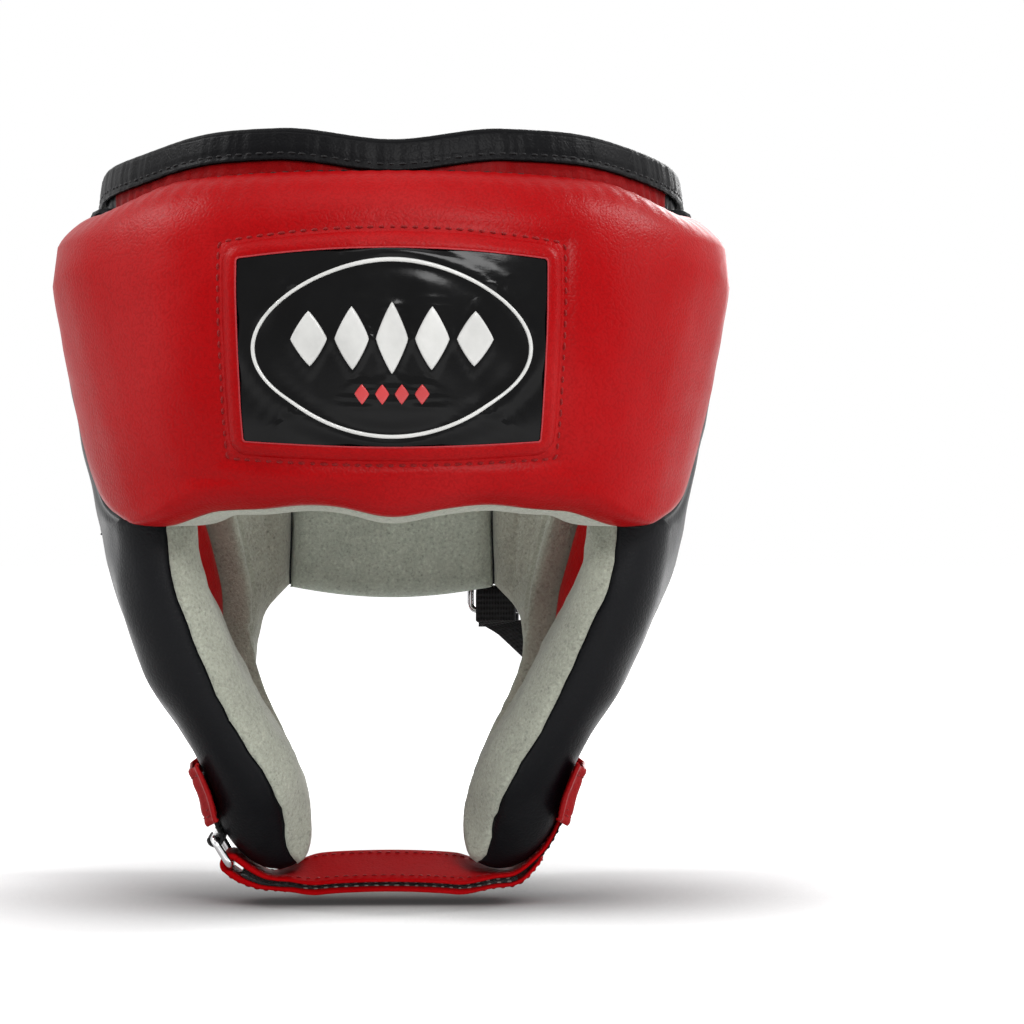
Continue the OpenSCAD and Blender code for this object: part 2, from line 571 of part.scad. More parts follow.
// Rectangular wire ring with round corners, flat in XY, bars along Y
module wire_ring(width, length, wire, corner) {
  for (sx = [-1, 1]) translate([sx * width / 2, 0, 0]) rotate([90, 0, 0])
    cylinder(h = length - 2 * corner, d = wire, center = true);
  for (sy = [-1, 1]) translate([0, sy * length / 2, 0]) rotate([0, 90, 0])
    cylinder(h = width - 2 * corner, d = wire, center = true);
  for (q = [0:3])
    let (sx = q == 0 || q == 3 ? 1 : -1, sy = q < 2 ? 1 : -1)
      translate([sx * (width / 2 - corner), sy * (length / 2 - corner), 0]) rotate([0, 0, 90 * q])
        rotate_extrude(angle = 90) translate([corner, 0]) circle(d = wire);
}
module chin_ring() {
  c = (flip(top_bar) + flip(low_bar)) / 2;
  d = flip(top_bar) - flip(low_bar);
  color(STEEL) translate([c[0], -chin_strap_y, c[1]]) rotate([0, -atan2(d[1], d[0]), 0])
    wire_ring(norm(d), chin_strap_w + 2 * chin_wire_d, chin_wire_d, chin_wire_d);
}
// Webbing from under the right cheek patch, turned round the ring's top bar
module chin_ring_loop() {
  c = flip(top_bar);
  o = flip(ring_out);
  up = [o[1], -o[0]];
  half = chin_half - 1;
  r_in = chin_wire_d / 2 + gap;
  seat = function (n) [for (z = [-70, -75, -80, -85])
    let (p = flip(flat_point(-chin_strap_y, z, chin_seat + n)))
    [for (v = [1, -1]) [p[0], -chin_strap_y + v * half, p[1]]]];
  turn_round = function (r) [for (f = [0:24:216])
    let (p = c + r * (-cos(f) * o - sin(f) * up))
    [for (v = [1, -1]) [p[0], -chin_strap_y + v * half, p[1]]]];
  color(BLACK) slab(concat(seat(0), turn_round(r_in + ring_loop_t)),
                    concat(seat(ring_loop_t), turn_round(r_in)));
}

// ---- rear straps -------------------------------------------------------------------------------
// Seat of each strap above the middle layer
upper_seat = elastic_seat + elastic_t;
lower_seat = rear_t / 2 + 3 * gap;
// All layers share these stations round the back, 3 degrees apart from the lower strap's fold
fold_a = 141;
REAR_A = [for (i = [0:26]) fold_a + 3 * i];
module rear_band(stations, z, n0, n1, half)
  slab([for (v = [-1, 1]) [for (i = stations) surf(REAR_A[i], z + v * half, n1)]],
       [for (v = [-1, 1]) [for (i = stations) surf(REAR_A[i], z + v * half, n0)]]);
// A strap with a round end at the first angle of the list: across and along
module round_strap(angles, tip, z, half, n0, n1) {
  wall = function (n) [for (v = [-1, -0.5, 0, 0.5, 1]) [for (a = angles)
    surf(a, z + v * half * arch(1 - clamp(abs(a - tip) / 19, 0.02, 1)), n)]];
  flipped = angles[0] < angles[len(angles) - 1];
  slab(flipped ? wall(n1) : wall(n0), flipped ? wall(n0) : wall(n1));
}

upper_half = upper_strap_w / 2;
upper_tip = 138;
upper_root = REAR_A[24] + 0.3;
upper_loop_from = upper_seat + layer_gap;
upper_hook_from = upper_loop_from + fuzz_t + hook_gap;
upper_from = upper_hook_from + fuzz_t + layer_gap;
module upper_strap() color(RED)
  round_strap(concat([138, 138.6, 139.6], [for (i = [0:24]) REAR_A[i]]), upper_tip,
              upper_strap_z, upper_half, upper_from, upper_from + strap_t);
module upper_loop_patch() color(BLACK)
  rear_band([1:9], upper_strap_z, upper_loop_from, upper_loop_from + fuzz_t, upper_half - 3);
module upper_hook_strip() color(BLACK)
  rear_band([3:10], upper_strap_z, upper_hook_from, upper_hook_from + fuzz_t, upper_half - 6);
// The sewn root of the upper strap, stepping down to the elastic
module upper_strap_anchor() {
  steps = [for (i = [0:6])
    [upper_root + 1.2 * i, lerp(upper_from, upper_seat + gap, smooth(i, 1, 5))]];
  grid = function (t) [for (v = [-1, 1])
    [for (s = steps) surf(s[0], upper_strap_z + v * upper_half, s[1] + t)]];
  color(RED) slab(grid(strap_t), grid(0));
}

lower_half = lower_strap_w / 2;
lower_tail_tip = 198;
bar_n = lower_seat + wire_at;
bar = surf(fold_a, lower_strap_z, bar_n);
bar_dir = normal(fold_a, lower_strap_z);
bar_side = cross([0, 0, 1], bar_dir);
// The fold of the lower strap round the ring's front upright
function lower_fold_point(f, r, v) =
  surf(fold_a, lower_strap_z + v * lower_half, bar_n) - r * (cos(f) * bar_dir + sin(f) * bar_side);
function lower_wall(n, r) = [for (v = [-1, 1]) concat(
  [for (i = [8:-1:1]) lower_fold_point(i * 22.5, r, v)],
  [for (a = REAR_A) surf(a, lower_strap_z + v * lower_half, lower_seat + n)])];
module lower_strap() color(RED) slab(lower_wall(strap_t, fold_in), lower_wall(0, fold_out));
module lower_loop_strip() color(BLACK)
  rear_band([8:17], lower_strap_z, lower_seat + loop_from, lower_seat + loop_from + fuzz_t,
            lower_half - 3);
module lower_hook_strip() color(BLACK)
  rear_band([8:16], lower_strap_z, lower_seat + hook_from, lower_seat + hook_from + fuzz_t,
            lower_half - 3);
// The tail lifts over the ring's rear upright
ring_rise = 0.9;
function tail_lift(a) = 2 * ring_rise * smooth(a, fold_a + 1, fold_a + 8)
  * (1 - smooth(a, fold_a + 17, fold_a + 23));
module lower_strap_tail() {
  angles = concat([lower_tail_tip, lower_tail_tip - 0.6, lower_tail_tip - 1.6],
                  [for (i = [18:-1:1]) REAR_A[i]], [fold_a + 0.6]);
  wall = function (n) [for (v = [-1, -0.5, 0, 0.5, 1]) [for (a = angles)
    surf(a, lower_strap_z + v * lower_half * arch(1 - clamp(abs(a - lower_tail_tip) / 19, 0.02, 1)),
         lower_seat + n + tail_lift(a))]];
  color(RED) slab(wall(tail_from), wall(tail_to));
}

// Frame of the rear ring: along its front upright, across to the rear upright, and outward
bar_ends = [for (v = [-1, 1]) surf(fold_a, lower_strap_z + v * lower_half, bar_n)];
bar_mid = (bar_ends[0] + bar_ends[1]) / 2;
ring_up = (bar_ends[1] - bar_ends[0]) / norm(bar_ends[1] - bar_ends[0]);
far_mid = surf(fold_a + turn(fold_a, lower_strap_z, rear_ring_w), lower_strap_z, bar_n + ring_rise);
ring_run = let (d = far_mid - bar_mid, e = d - (d * ring_up) * ring_up) e / norm(e);
ring_face = cross(ring_up, ring_run);
ring_low = -(lower_half + 10);
ring_high = norm(bar_ends[1] - bar_ends[0]) / 2 + gap + rear_wire_d / 2;
function on_ring(x, y, n) = bar_mid + x * ring_run + y * ring_up + n * ring_face;
module rear_ring() {
  c = on_ring(rear_ring_w / 2, (ring_low + ring_high) / 2, 0);
  color(STEEL)
    multmatrix([for (i = [0:2]) [ring_run[i], ring_up[i], -ring_face[i], c[i]]])
      wire_ring(rear_ring_w, ring_high - ring_low, rear_wire_d, rear_wire_d);
}

// Webbing turned round the ring's lower bar and sewn down to the shell's lower rear corner
webbing_t = 1.4;
webbing_half = rear_ring_w / 2 - rear_wire_d;
webbing_turn = 6.1;
module rear_ring_webbing() {
  r = rear_wire_d / 2 + gap;
  row = function (y, n) [for (v = [-1, 1])
    on_ring(rear_ring_w / 2 + v * webbing_half, ring_low + y, n)];
  rows = function (r, n) concat(
    [row(-6, -r), row(0, -r)],
    [for (f = [-90:30:90]) row(webbing_turn + r * cos(f), r * sin(f))],
    [row(0, r), row(-4, r)],
    [for (s = [[142, -31], [134, -40]]) [for (v = [-1, 1])
      let (a = s[0] + v * 5.5, z = s[1] - v * 3) surf(a, z, side_half(a, z) + gap + n)]]);
  color(BLACK) slab(rows(r + webbing_t, webbing_t), rows(r, 0));
}

brow_cover();
brow_foam();
brow_lining();
side_cover(1);  // left_side_cover
side_foam(1);  // left_side_foam
side_lining(1);  // left_side_lining
side_cover(-1);  // right_side_cover
side_foam(-1);  // right_side_foam
side_lining(-1);  // right_side_lining
ear_ring(1);  // left_ear_ring
ear_ring(-1);  // right_ear_ring
ear_strap(1);  // left_ear_strap
ear_strap(-1);  // right_ear_strap
ear_roundel(1);  // left_ear_roundel
ear_roundel(-1);  // right_ear_roundel
brow_collar();
side_collar(1);  // left_collar
side_collar(-1);  // right_collar
top_binding();
badge_plate();
badge_oval();
rear_pad_cover();
rear_pad_foam();
rear_pad_lining();
rear_elastic();
cheek_patch(1);  // left_cheek_patch
cheek_patch(-1);  // right_cheek_patch
chin_strap();
chin_loop_strip();
chin_strap_tail();
chin_hook_strip();
chin_ring();
chin_ring_loop();
upper_strap_anchor();
upper_strap();
upper_hook_strip();
upper_loop_patch();
lower_strap();
lower_loop_strip();
lower_strap_tail();
lower_hook_strip();
rear_ring();
rear_ring_webbing();
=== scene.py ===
"""Boxing headgear: the dressed model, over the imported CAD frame.

Lengths are in millimetres and angles in degrees, as in part.scad, and mesh() turns them into
metres. The camera, the lamps and the floor's shading, at the end, are in metres.
The face looks along -Y, the wearer's left is +X, up is +Z.
"""

import math

import bpy
import numpy as np
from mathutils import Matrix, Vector


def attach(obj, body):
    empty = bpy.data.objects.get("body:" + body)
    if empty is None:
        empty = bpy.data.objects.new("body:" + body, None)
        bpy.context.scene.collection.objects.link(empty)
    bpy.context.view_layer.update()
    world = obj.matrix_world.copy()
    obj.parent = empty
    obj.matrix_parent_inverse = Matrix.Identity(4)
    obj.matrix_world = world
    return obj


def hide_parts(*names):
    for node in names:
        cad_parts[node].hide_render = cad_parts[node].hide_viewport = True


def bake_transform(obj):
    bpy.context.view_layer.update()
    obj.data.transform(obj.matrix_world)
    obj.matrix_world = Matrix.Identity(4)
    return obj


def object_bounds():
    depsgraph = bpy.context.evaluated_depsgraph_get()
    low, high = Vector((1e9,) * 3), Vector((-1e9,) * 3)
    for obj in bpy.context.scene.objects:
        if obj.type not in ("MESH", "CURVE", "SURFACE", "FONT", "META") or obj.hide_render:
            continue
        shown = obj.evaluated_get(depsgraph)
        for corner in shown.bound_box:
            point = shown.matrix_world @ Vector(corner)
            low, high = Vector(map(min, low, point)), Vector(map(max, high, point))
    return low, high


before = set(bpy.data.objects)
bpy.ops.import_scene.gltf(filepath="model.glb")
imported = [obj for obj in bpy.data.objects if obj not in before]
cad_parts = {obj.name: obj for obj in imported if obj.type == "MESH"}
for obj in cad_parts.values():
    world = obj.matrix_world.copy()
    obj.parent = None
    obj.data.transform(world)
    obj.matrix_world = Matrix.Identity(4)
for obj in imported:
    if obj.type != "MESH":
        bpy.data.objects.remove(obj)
CAD_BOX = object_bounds()

# ---- the driving sizes -------------------------------------------------------------------------
# As in part.scad, but the badge is drawn a little smaller and higher than its solid.
BROW_HALF_W, EAR_HALF_W, JAW_HALF_W, CHIN_HALF_W = 99.0, 82.0, 60.0, 31.0
BROW_REACH, REAR_REACH = 113.0, 60.0
BROW_TOP_Z, BROW_LOW_Z, CHIN_Z = 117.0, 10.0, -105.0
BROW_T, SIDE_T, REAR_T, GAP = 30.0, 30.0, 16.0, 0.3
RING_HALF_W, RING_HALF_H, RING_Z, ROLL_W, ROLL_T = 39.5, 69.5, -6.0, 26.0, 31.0
EAR_STRAP_H, EAR_STRAP_Z, ROUNDEL_D = 28.0, -4.0, 19.0
BADGE_W, BADGE_H, BADGE_Z = 98.6, 58.2, 61.4
COLLAR_TOP_Z, COLLAR_T, BINDING_H, BINDING_T = 129.0, 1.2, 11.0, 1.5
CHIN_STRAP_W, CHIN_STRAP_Y, STRAP_T, FUZZ_T, WIRE_D, CHIN_RING_H = 26.0, 38.0, 2.0, 1.3, 2.5, 10.0
UPPER_W, UPPER_Z, LOWER_W, LOWER_Z, REAR_RING_W = 44.0, 61.5, 50.0, 11.0, 20.0


# ---- curves ------------------------------------------------------------------------------------
def lerp(a, b, t):
    return a + (b - a) * t


def floats(*values):
    """The values as float arrays of one shape."""
    return np.broadcast_arrays(*(np.asarray(q, float) for q in values))


def between(at, s, rows):
    """Points between rows of points that lie at the places s."""
    return np.stack([np.interp(at, s, rows[:, k]) for k in range(3)], -1)


def smooth(x, lo, hi):
    t = np.clip((np.asarray(x, float) - lo) / (hi - lo), 0, 1)
    return t * t * (3 - 2 * t)


def arch(e):
    return np.sqrt(np.maximum(1 - np.asarray(e, float) ** 2, 0))


def bump(d, width):
    """1 on a line, falling to 0 over about twice the width."""
    return np.exp(-((d / width) ** 2))


def along(pts, u):
    """Smooth curve through a list of points, u from 0 to 1."""
    pts, u = np.asarray(pts, float), np.asarray(u, float)
    n = len(pts) - 1
    i = np.clip(np.floor(u * n).astype(int), 0, n - 1)
    t = (u * n - i)[..., None]
    p, q = pts[np.maximum(i - 1, 0)], pts[i]
    r, s = pts[i + 1], pts[np.minimum(i + 2, n)]
    return 0.5 * (2 * q + (r - p) * t + (2 * p - 5 * q + 4 * r - s) * t**2
                  + (3 * q - p - 3 * r + s) * t**3)


def station(tab, z):
    """Smooth value from a table of (height, value), straight on past its ends."""
    x, y = np.asarray(tab, float).T
    z = np.asarray(z, float)
    n = len(x)
    i = np.clip(np.searchsorted(x, z) - 1, 0, n - 2)
    lo, hi = np.maximum(np.arange(n) - 1, 0), np.minimum(np.arange(n) + 1, n - 1)
    slope = (y[hi] - y[lo]) / (x[hi] - x[lo])
    h = x[i + 1] - x[i]
    t, p, q = (z - x[i]) / h, y[i], y[i + 1]
    m, k = slope[i] * h, slope[i + 1] * h
    inside = p + m * t + (3 * (q - p) - 2 * m - k) * t**2 + (m + k - 2 * (q - p)) * t**3
    return np.where(t < 0, p + m * t, np.where(t > 1, q + k * (t - 1), inside))


# ---- the middle layer of the padding -----------------------------------------------------------
WIDTHS = [
    (CHIN_Z, CHIN_HALF_W), (-92, lerp(CHIN_HALF_W, JAW_HALF_W, 0.40)),
    (-75, lerp(CHIN_HALF_W, JAW_HALF_W, 0.69)), (-57, JAW_HALF_W),
    (-30, lerp(JAW_HALF_W, EAR_HALF_W, 0.56)), (0, EAR_HALF_W),
    (40, lerp(EAR_HALF_W, BROW_HALF_W, 0.57)), (80, BROW_HALF_W), (118, BROW_HALF_W - 5)]
CHEEK_REACH = BROW_REACH + 9
FRONTS = [(CHIN_Z, CHEEK_REACH), (-20, CHEEK_REACH), (BROW_LOW_Z, BROW_REACH - 3),
          (45, BROW_REACH), (85, BROW_REACH), (118, BROW_REACH - 9)]
SQUARES = [(-40, 3.3), (0, 3.1), (60, 2.6), (118, 2.5)]


def sin(a):
    return np.sin(np.radians(a))


def cos(a):
    return np.cos(np.radians(a))


def half_w(z):
    return station(WIDTHS, z)


def reach(a, z):
    return np.where(cos(a) > 0, station(FRONTS, z), REAR_REACH)


def square_at(a, z):
    return np.where(cos(a) > 0, station(SQUARES, z), lerp(3.4, 2.4, smooth(z, -50, -16)))


def mid(a, z):
    """The middle layer's point at the angle a from the face and the height z."""
    a, z = floats(a, z)
    n = square_at(a, z)
    r = ((np.abs(sin(a)) / half_w(z)) ** n + (np.abs(cos(a)) / reach(a, z)) ** n) ** (-1 / n)
    return np.stack([r * sin(a), -r * cos(a), z], -1)


def unit(v):
    return v / np.maximum(np.linalg.norm(v, axis=-1, keepdims=True), 1e-9)


def normal(a, z):
    return unit(np.cross(mid(a + 1, z) - mid(a - 1, z), mid(a, z + 2) - mid(a, z - 2)))


def surf(a, z, n):
    """A point n outside the middle layer."""
    a, z, n = floats(a, z, n)
    return mid(a, z) + n[..., None] * normal(a, z)


def angle_of(y, z):
    """The angle at which the middle layer passes y at the height z."""
    y, z = floats(y, z)
    s = np.where(y < 0, 45.0, 135.0)
    n, b = square_at(s, z), reach(s, z)
    x = half_w(z) * (1 - np.minimum(np.abs(y) / b, 0.999) ** n) ** (1 / n)
    return np.degrees(np.arctan2(x, -y))


def turn(a, z, length):
    """How many degrees a length takes along the middle layer."""
    return length / np.linalg.norm(mid(a + 0.5, z) - mid(a - 0.5, z), axis=-1)


# ---- edges of the side shell, as (y, height) ---------------------------------------------------
CORNER_Y = -80.0
SEAM = [(-46, BROW_TOP_Z - 6), (-47, 76), (-51, 44), (-62, 20), (CORNER_Y, BROW_LOW_Z)]
FACE_EDGE = [(CORNER_Y, BROW_LOW_Z), (-82, -20), (-78, -58), (-66, -86), (-48, CHIN_Z)]
JAW_EDGE = [(-48, CHIN_Z), (-30, CHIN_Z), (-9, -97), (19, -81), (34, -68.5), (45, -57),
            (51.3, -45), (52.3, -34), (52.5, -24), (55.4, -15)]
REAR_EDGE = [(55.4, -15), (56.7, 20), (57, 88)]
TOP_EDGE = [(57, 88), (30, 101), (0, 107), (-46, BROW_TOP_Z - 6)]
EDGES = [SEAM, FACE_EDGE, JAW_EDGE, REAR_EDGE, TOP_EDGE]
EDGE_ROUND = [4, 16, 14, 9, 20]
LEAST = GAP / 2 * 0.9  # how far a pad's face stays from the middle layer


def ear_oval(t, half_y, half_z, point):
    """An oval round the ear, pointed below by the share point."""
    low = np.maximum(-sin(t), 0)
    return np.stack([half_y * cos(t) * (1 - point * low * low), RING_Z + half_z * sin(t)], -1)


def ear_edge(t, g):
    return ear_oval(t, RING_HALF_W + g, RING_HALF_H + g, 0.14)


def ear_hole(t, g):
    return ear_oval(t, RING_HALF_W - ROLL_W + g, RING_HALF_H - ROLL_W - 3.5 + g, 0.3)


def side_half(a, z):
    """Half the side shell's thickness: thinner to the chin and to the back."""
    fade, low = smooth(a, 112, 147), smooth(z, -70, CHIN_Z)
    return lerp(lerp(SIDE_T, SIDE_T - 5, low), REAR_T, fade) / 2


# ---- meshes ------------------------------------------------------------------------------------
CHEEK_LEAN, LEFT_LEAN = 3.0, 2.8


def settle(points):
    """The soft cheeks lean in a little at rest, the wearer's left one more than the right."""
    p = np.array(points, float).reshape(-1, 3)
    x, y, z = p.T
    near = CHEEK_LEAN * bump(z + 81, np.where(z > -81, 19.0, 11.0)) * smooth(-y, -45, 0)
    late = 25 * smooth(y, 30, 55)
    left = LEFT_LEAN * smooth(-z, 2 + late, 45 + late / 2)
    p[:, 0] -= np.sign(x) * near * smooth(np.abs(x), 8, 28) + left * smooth(x, 5, 30)
    return p


def mesh(name, points, faces, material, body="shell", uv=None):
    """An object from points in mm and faces, riding on a body."""
    me = bpy.data.meshes.new(name)
    points = settle(points) if body else np.asarray(points)
    me.from_pydata((points.reshape(-1, 3) * 0.001).tolist(), [], faces)
    if uv is not None:
        layer = me.uv_layers.new(name="UVMap")
        corner = np.empty(len(me.loops), int)
        me.loops.foreach_get("vertex_index", corner)
        layer.data.foreach_set("uv", (np.asarray(uv).reshape(-1, 2)[corner] * 0.001).ravel())
    me.polygons.foreach_set("use_smooth", np.full(len(me.polygons), True))
    me.materials.append(material)
    me.update()
    obj = bpy.data.objects.new(name, me)
    bpy.context.scene.collection.objects.link(obj)
    if body:
        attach(obj, body)
    return obj


def quads(rows, cols, close_rows=False, close_cols=False, flip=False):
    i = np.arange(rows if close_rows else rows - 1)[:, None]
    j = np.arange(cols if close_cols else cols - 1)[None, :]
    i2, j2 = (i + 1) % rows, (j + 1) % cols
    f = np.stack([i * cols + j, i * cols + j2, i2 * cols + j2, i2 * cols + j], -1).reshape(-1, 4)
    return (f[:, ::-1] if flip else f).tolist()


def skin(name, grid, material, close_rows=False, close_cols=False, caps=False, flip=False, **kw):
    """A surface through a grid of points, rows by columns."""
    rows, cols = grid.shape[:2]
    faces = quads(rows, cols, close_rows, close_cols, flip)
    if caps:
        ends = [list(range(cols))[::-1], list(range((rows - 1) * cols, rows * cols))]
        faces += [e[::-1] if flip else e for e in ends]
    return mesh(name, grid, faces, material, **kw)


def resample(path, normals, pitch, closed):
    """Even places along a path, with its directions and its normals there."""
    s = np.r_[0, np.cumsum(np.linalg.norm(np.diff(path, axis=0), axis=1))]
    count = max(int(round(s[-1] / pitch)), 2)
    at = np.linspace(0, s[-1], count + 1)
    at = at[:-1] if closed else (at[:-1] + at[1:]) / 2
    way = unit(between(at + 0.5, s, path) - between(at - 0.5, s, path))
    return between(at, s, path), way, unit(between(at, s, normals))


STITCHES = {}
STITCH_ROWS, STITCH_COLS = 7, 6
STITCH_VARY, STITCH_SUNK = 0.12, 0.18  # how the lengths differ, and how deep the ends lie


def stitch(group, path, normals, body="shell", closed=False):
    """A row of stitches along a path on a surface, gathered by group into one piece."""
    material, pitch, length, thread, rise = (SEWN[group] + PLAIN_THREAD)[:5]
    c, t, n = resample(np.asarray(path, float), np.asarray(normals, float), pitch, closed)
    n = unit(n - (n * t).sum(-1, keepdims=True) * t)
    b = np.cross(n, t)
    s = np.linspace(-1, 1, STITCH_ROWS)
    f = np.arange(STITCH_COLS) * 360.0 / STITCH_COLS
    body_r = thread / 2 * arch(s * 0.97) ** 0.7
    high = rise * (1 - s**2) - STITCH_SUNK
    rng = np.random.default_rng(len(path) + len(group))
    size = 1 + STITCH_VARY * rng.standard_normal(len(c))
    wide = body_r[:, None] * cos(f)
    tall = high[:, None] + 0.8 * body_r[:, None] * sin(f)
    c, t, b, n = (q[:, None, None] for q in (c, t, b, n))
    p = (c + t * (s * length / 2)[None, :, None, None] * size[:, None, None, None]
         + b * wide[None, ..., None] + n * tall[None, ..., None])
    STITCHES.setdefault((group, body), (material, []))[1].append(p)


def sew():
    """Make one piece for each group of stitches."""
    for (group, body), (material, parts) in STITCHES.items():
        points = np.concatenate(parts)
        one = np.array(quads(STITCH_ROWS, STITCH_COLS, close_cols=True))
        tips = np.array([[0, 5, 4, 3], [0, 3, 2, 1], [36, 37, 38, 39], [36, 39, 40, 41]])
        one = np.concatenate([one, tips])
        first = STITCH_ROWS * STITCH_COLS * np.arange(len(points))[:, None, None]
        faces = (one[None] + first).reshape(-1, 4).tolist()
        mesh("stitches_" + group, points, faces, material, body=body)


# ---- materials ---------------------------------------------------------------------------------
class Tree:
    """A small helper round a node tree."""

    def __init__(self, tree):
        self.nodes, self.links = tree.nodes, tree.links

    def node(self, kind, **settings):
        node = self.nodes.new("ShaderNode" + kind)
        for key, value in settings.items():
            if hasattr(node, key):
                setattr(node, key, value)
            else:
                node.inputs[key.replace("_", " ")].default_value = value
        return node

    def wire(self, out, inp):
        self.links.new(out, inp)

    def feed(self, value, inp):
        """Set an input to a number or a colour, or wire an output to it."""
        if isinstance(value, tuple):
            inp.default_value = (*value, 1)
        elif isinstance(value, (int, float)):
            inp.default_value = value
        else:
            self.wire(value, inp)

    def show(self, plain, seen, output):
        """Seen for the camera, also off glossy and clear surfaces; plain for other light."""
        path = self.node("LightPath")
        ray = path.outputs["Is Camera Ray"]
        for kind in ("Is Glossy Ray", "Is Transmission Ray"):
            most = self.node("Math", operation="MAXIMUM")
            self.wire(ray, most.inputs[0])
            self.wire(path.outputs[kind], most.inputs[1])
            ray = most.outputs[0]
        mixed = self.node("MixShader")
        for out, inp in zip((ray, plain, seen), mixed.inputs):
            self.wire(out, inp)
        self.wire(mixed.outputs[0], self.nodes[output].inputs["Surface"])


class Paint(Tree):
    """A Principled material, painted by its object's place."""

    def __init__(self, name, color, rough, **sockets):
        self.material = bpy.data.materials.new(name)
        self.material.use_nodes = True
        super().__init__(self.material.node_tree)
        self.shader = self.nodes["Principled BSDF"]
        self.shader.inputs["Base Color"].default_value = (*color, 1)
        self.shader.inputs["Roughness"].default_value = rough
        for key, value in sockets.items():
            self.shader.inputs[key.replace("_", " ")].default_value = value
        self.place = self.node("TexCoord").outputs["Object"]
        self.last_normal = None

    def noise(self, scale, detail=2, rough=0.5, distortion=0.0):
        n = self.node("TexNoise", Scale=scale, Detail=detail, Roughness=rough,
                      Distortion=distortion)
        self.wire(self.place, n.inputs["Vector"])
        return n.outputs["Fac"]

    def cells(self, scale, feature="F1", source=None, randomness=1.0):
        n = self.node("TexVoronoi", feature=feature, Scale=scale, Randomness=randomness)
        self.wire(source or self.place, n.inputs["Vector"])
        return n.outputs["Distance"]

    def ramp(self, fac, stops):
        """Values or colours along a factor: stops are (position, value or colour)."""
        n = self.node("ValToRGB")
        n.color_ramp.elements[0].position, n.color_ramp.elements[1].position = 0, 1
        while len(n.color_ramp.elements) < len(stops):
            n.color_ramp.elements.new(0.5)
        for e, (p, v) in zip(n.color_ramp.elements, stops):
            e.position = p
            e.color = (*v, 1) if isinstance(v, tuple) else (v, v, v, 1)
        self.wire(fac, n.inputs["Fac"])
        return n.outputs["Color"]

    def math(self, operation, a, b=None):
        n = self.node("Math", operation=operation)
        self.feed(a, n.inputs[0])
        if b is not None:
            self.feed(b, n.inputs[1])
        return n.outputs["Value"]

    def mix(self, fac, a, b, blend="MIX"):
        n = self.node("Mix", data_type="RGBA", blend_type=blend)
        for slot, value in ((0, fac), (6, a), (7, b)):
            self.feed(value, n.inputs[slot])
        return n.outputs[2]

    def bump(self, height, depth):
        """Depth in mm for a height from 0 to 1."""
        n = self.node("Bump", Strength=1.0, Distance=depth * 0.001)
        self.wire(height, n.inputs["Height"])
        if self.last_normal:
            self.wire(self.last_normal, n.inputs["Normal"])
        self.last_normal = n.outputs["Normal"]
        self.wire(self.last_normal, self.shader.inputs["Normal"])

    def base(self, out):
        self.wire(out, self.shader.inputs["Base Color"])

    def roughness(self, out):
        self.wire(out, self.shader.inputs["Roughness"])


def times(color, k, plus=0.0):
    """A colour scaled, with no part over 1."""
    return tuple(min(1.0, c * k + plus) for c in color)


def leather(name, color, rough, grain, depth=0.05, wrinkle=0.30, tint=0.12, gloss=0.13):
    """Grained leather: fine pebbles, soft creases and slow colour changes."""
    p = Paint(name, color, rough, Specular_IOR_Level=gloss)
    warp = p.node("VectorMath", operation="MULTIPLY_ADD")
    wobble = p.node("TexNoise", Scale=420.0, Detail=2.0)
    p.wire(p.place, wobble.inputs["Vector"])
    p.wire(wobble.outputs["Color"], warp.inputs[0])
    warp.inputs[1].default_value = (0.0012, 0.0012, 0.0012)
    p.wire(p.place, warp.inputs[2])
    pebble = p.cells(grain, "SMOOTH_F1", warp.outputs[0])
    fine = p.noise(grain * 2.2, 3)
    slow = p.noise(16, 3, 0.55)
    soft = p.noise(70, 4, 0.6, distortion=0.6)
    tone = p.ramp(slow, [(0.3, times(color, 1 - tint)), (0.5, color),
                         (0.72, times(color, 1 + tint, 0.006))])
    valley = p.ramp(pebble, [(0.32, 0.0), (0.62, 1.0)])
    p.base(p.mix(p.math("MULTIPLY", valley, 0.35), tone, times(color, 0.62)))
    p.roughness(p.ramp(p.math("ADD", p.math("MULTIPLY", slow, 0.6), p.math("MULTIPLY", soft, 0.4)),
                       [(0.3, rough - 0.06), (0.7, rough + 0.08)]))
    p.bump(soft, wrinkle)
    p.bump(p.math("SUBTRACT", 1.0, p.math("ADD", p.math("MULTIPLY", valley, 0.8),
                                          p.math("MULTIPLY", fine, 0.25))), depth)
    return p.material


def rgb(r, g, b):
    """A colour as a screen shows it, 0 to 255."""
    return tuple((c / 255) ** 2.2 for c in (r, g, b))


def suede(name, color):
    """Napped suede: fine pale specks and dark pits over faint brushed patches."""
    p = Paint(name, color, 0.95, Sheen_Weight=0.25, Sheen_Roughness=0.6, Specular_IOR_Level=0.1)
    patch = p.noise(13, 3, 0.5, distortion=0.3)
    brushed = p.noise(80, 3, 0.6, distortion=1.2)
    nap = p.noise(900, 3, 0.65, distortion=0.4)
    fibre = p.noise(1700, 2, 0.7)
    pits = p.ramp(p.cells(560, "F1", randomness=1.0), [(0.10, 0.55), (0.32, 1.0)])
    tone = p.ramp(patch, [(0.35, times(color, 0.90)), (0.5, color), (0.65, times(color, 1.08))])
    streak = p.ramp(brushed, [(0.34, 0.93), (0.66, 1.05)])
    fleck = p.ramp(nap, [(0.30, 0.70), (0.46, 0.95), (0.56, 1.02), (0.70, 1.26)])
    tone = p.mix(0.9, tone, streak, "MULTIPLY")
    tone = p.mix(1.0, tone, fleck, "MULTIPLY")
    rare = p.ramp(p.noise(200, 2), [(0.50, 0.0), (0.62, 0.8)])
    p.base(p.mix(rare, tone, pits, "MULTIPLY"))
    p.bump(brushed, 0.25)
    p.bump(nap, 0.55)
    p.bump(fibre, 0.12)
    return p.material


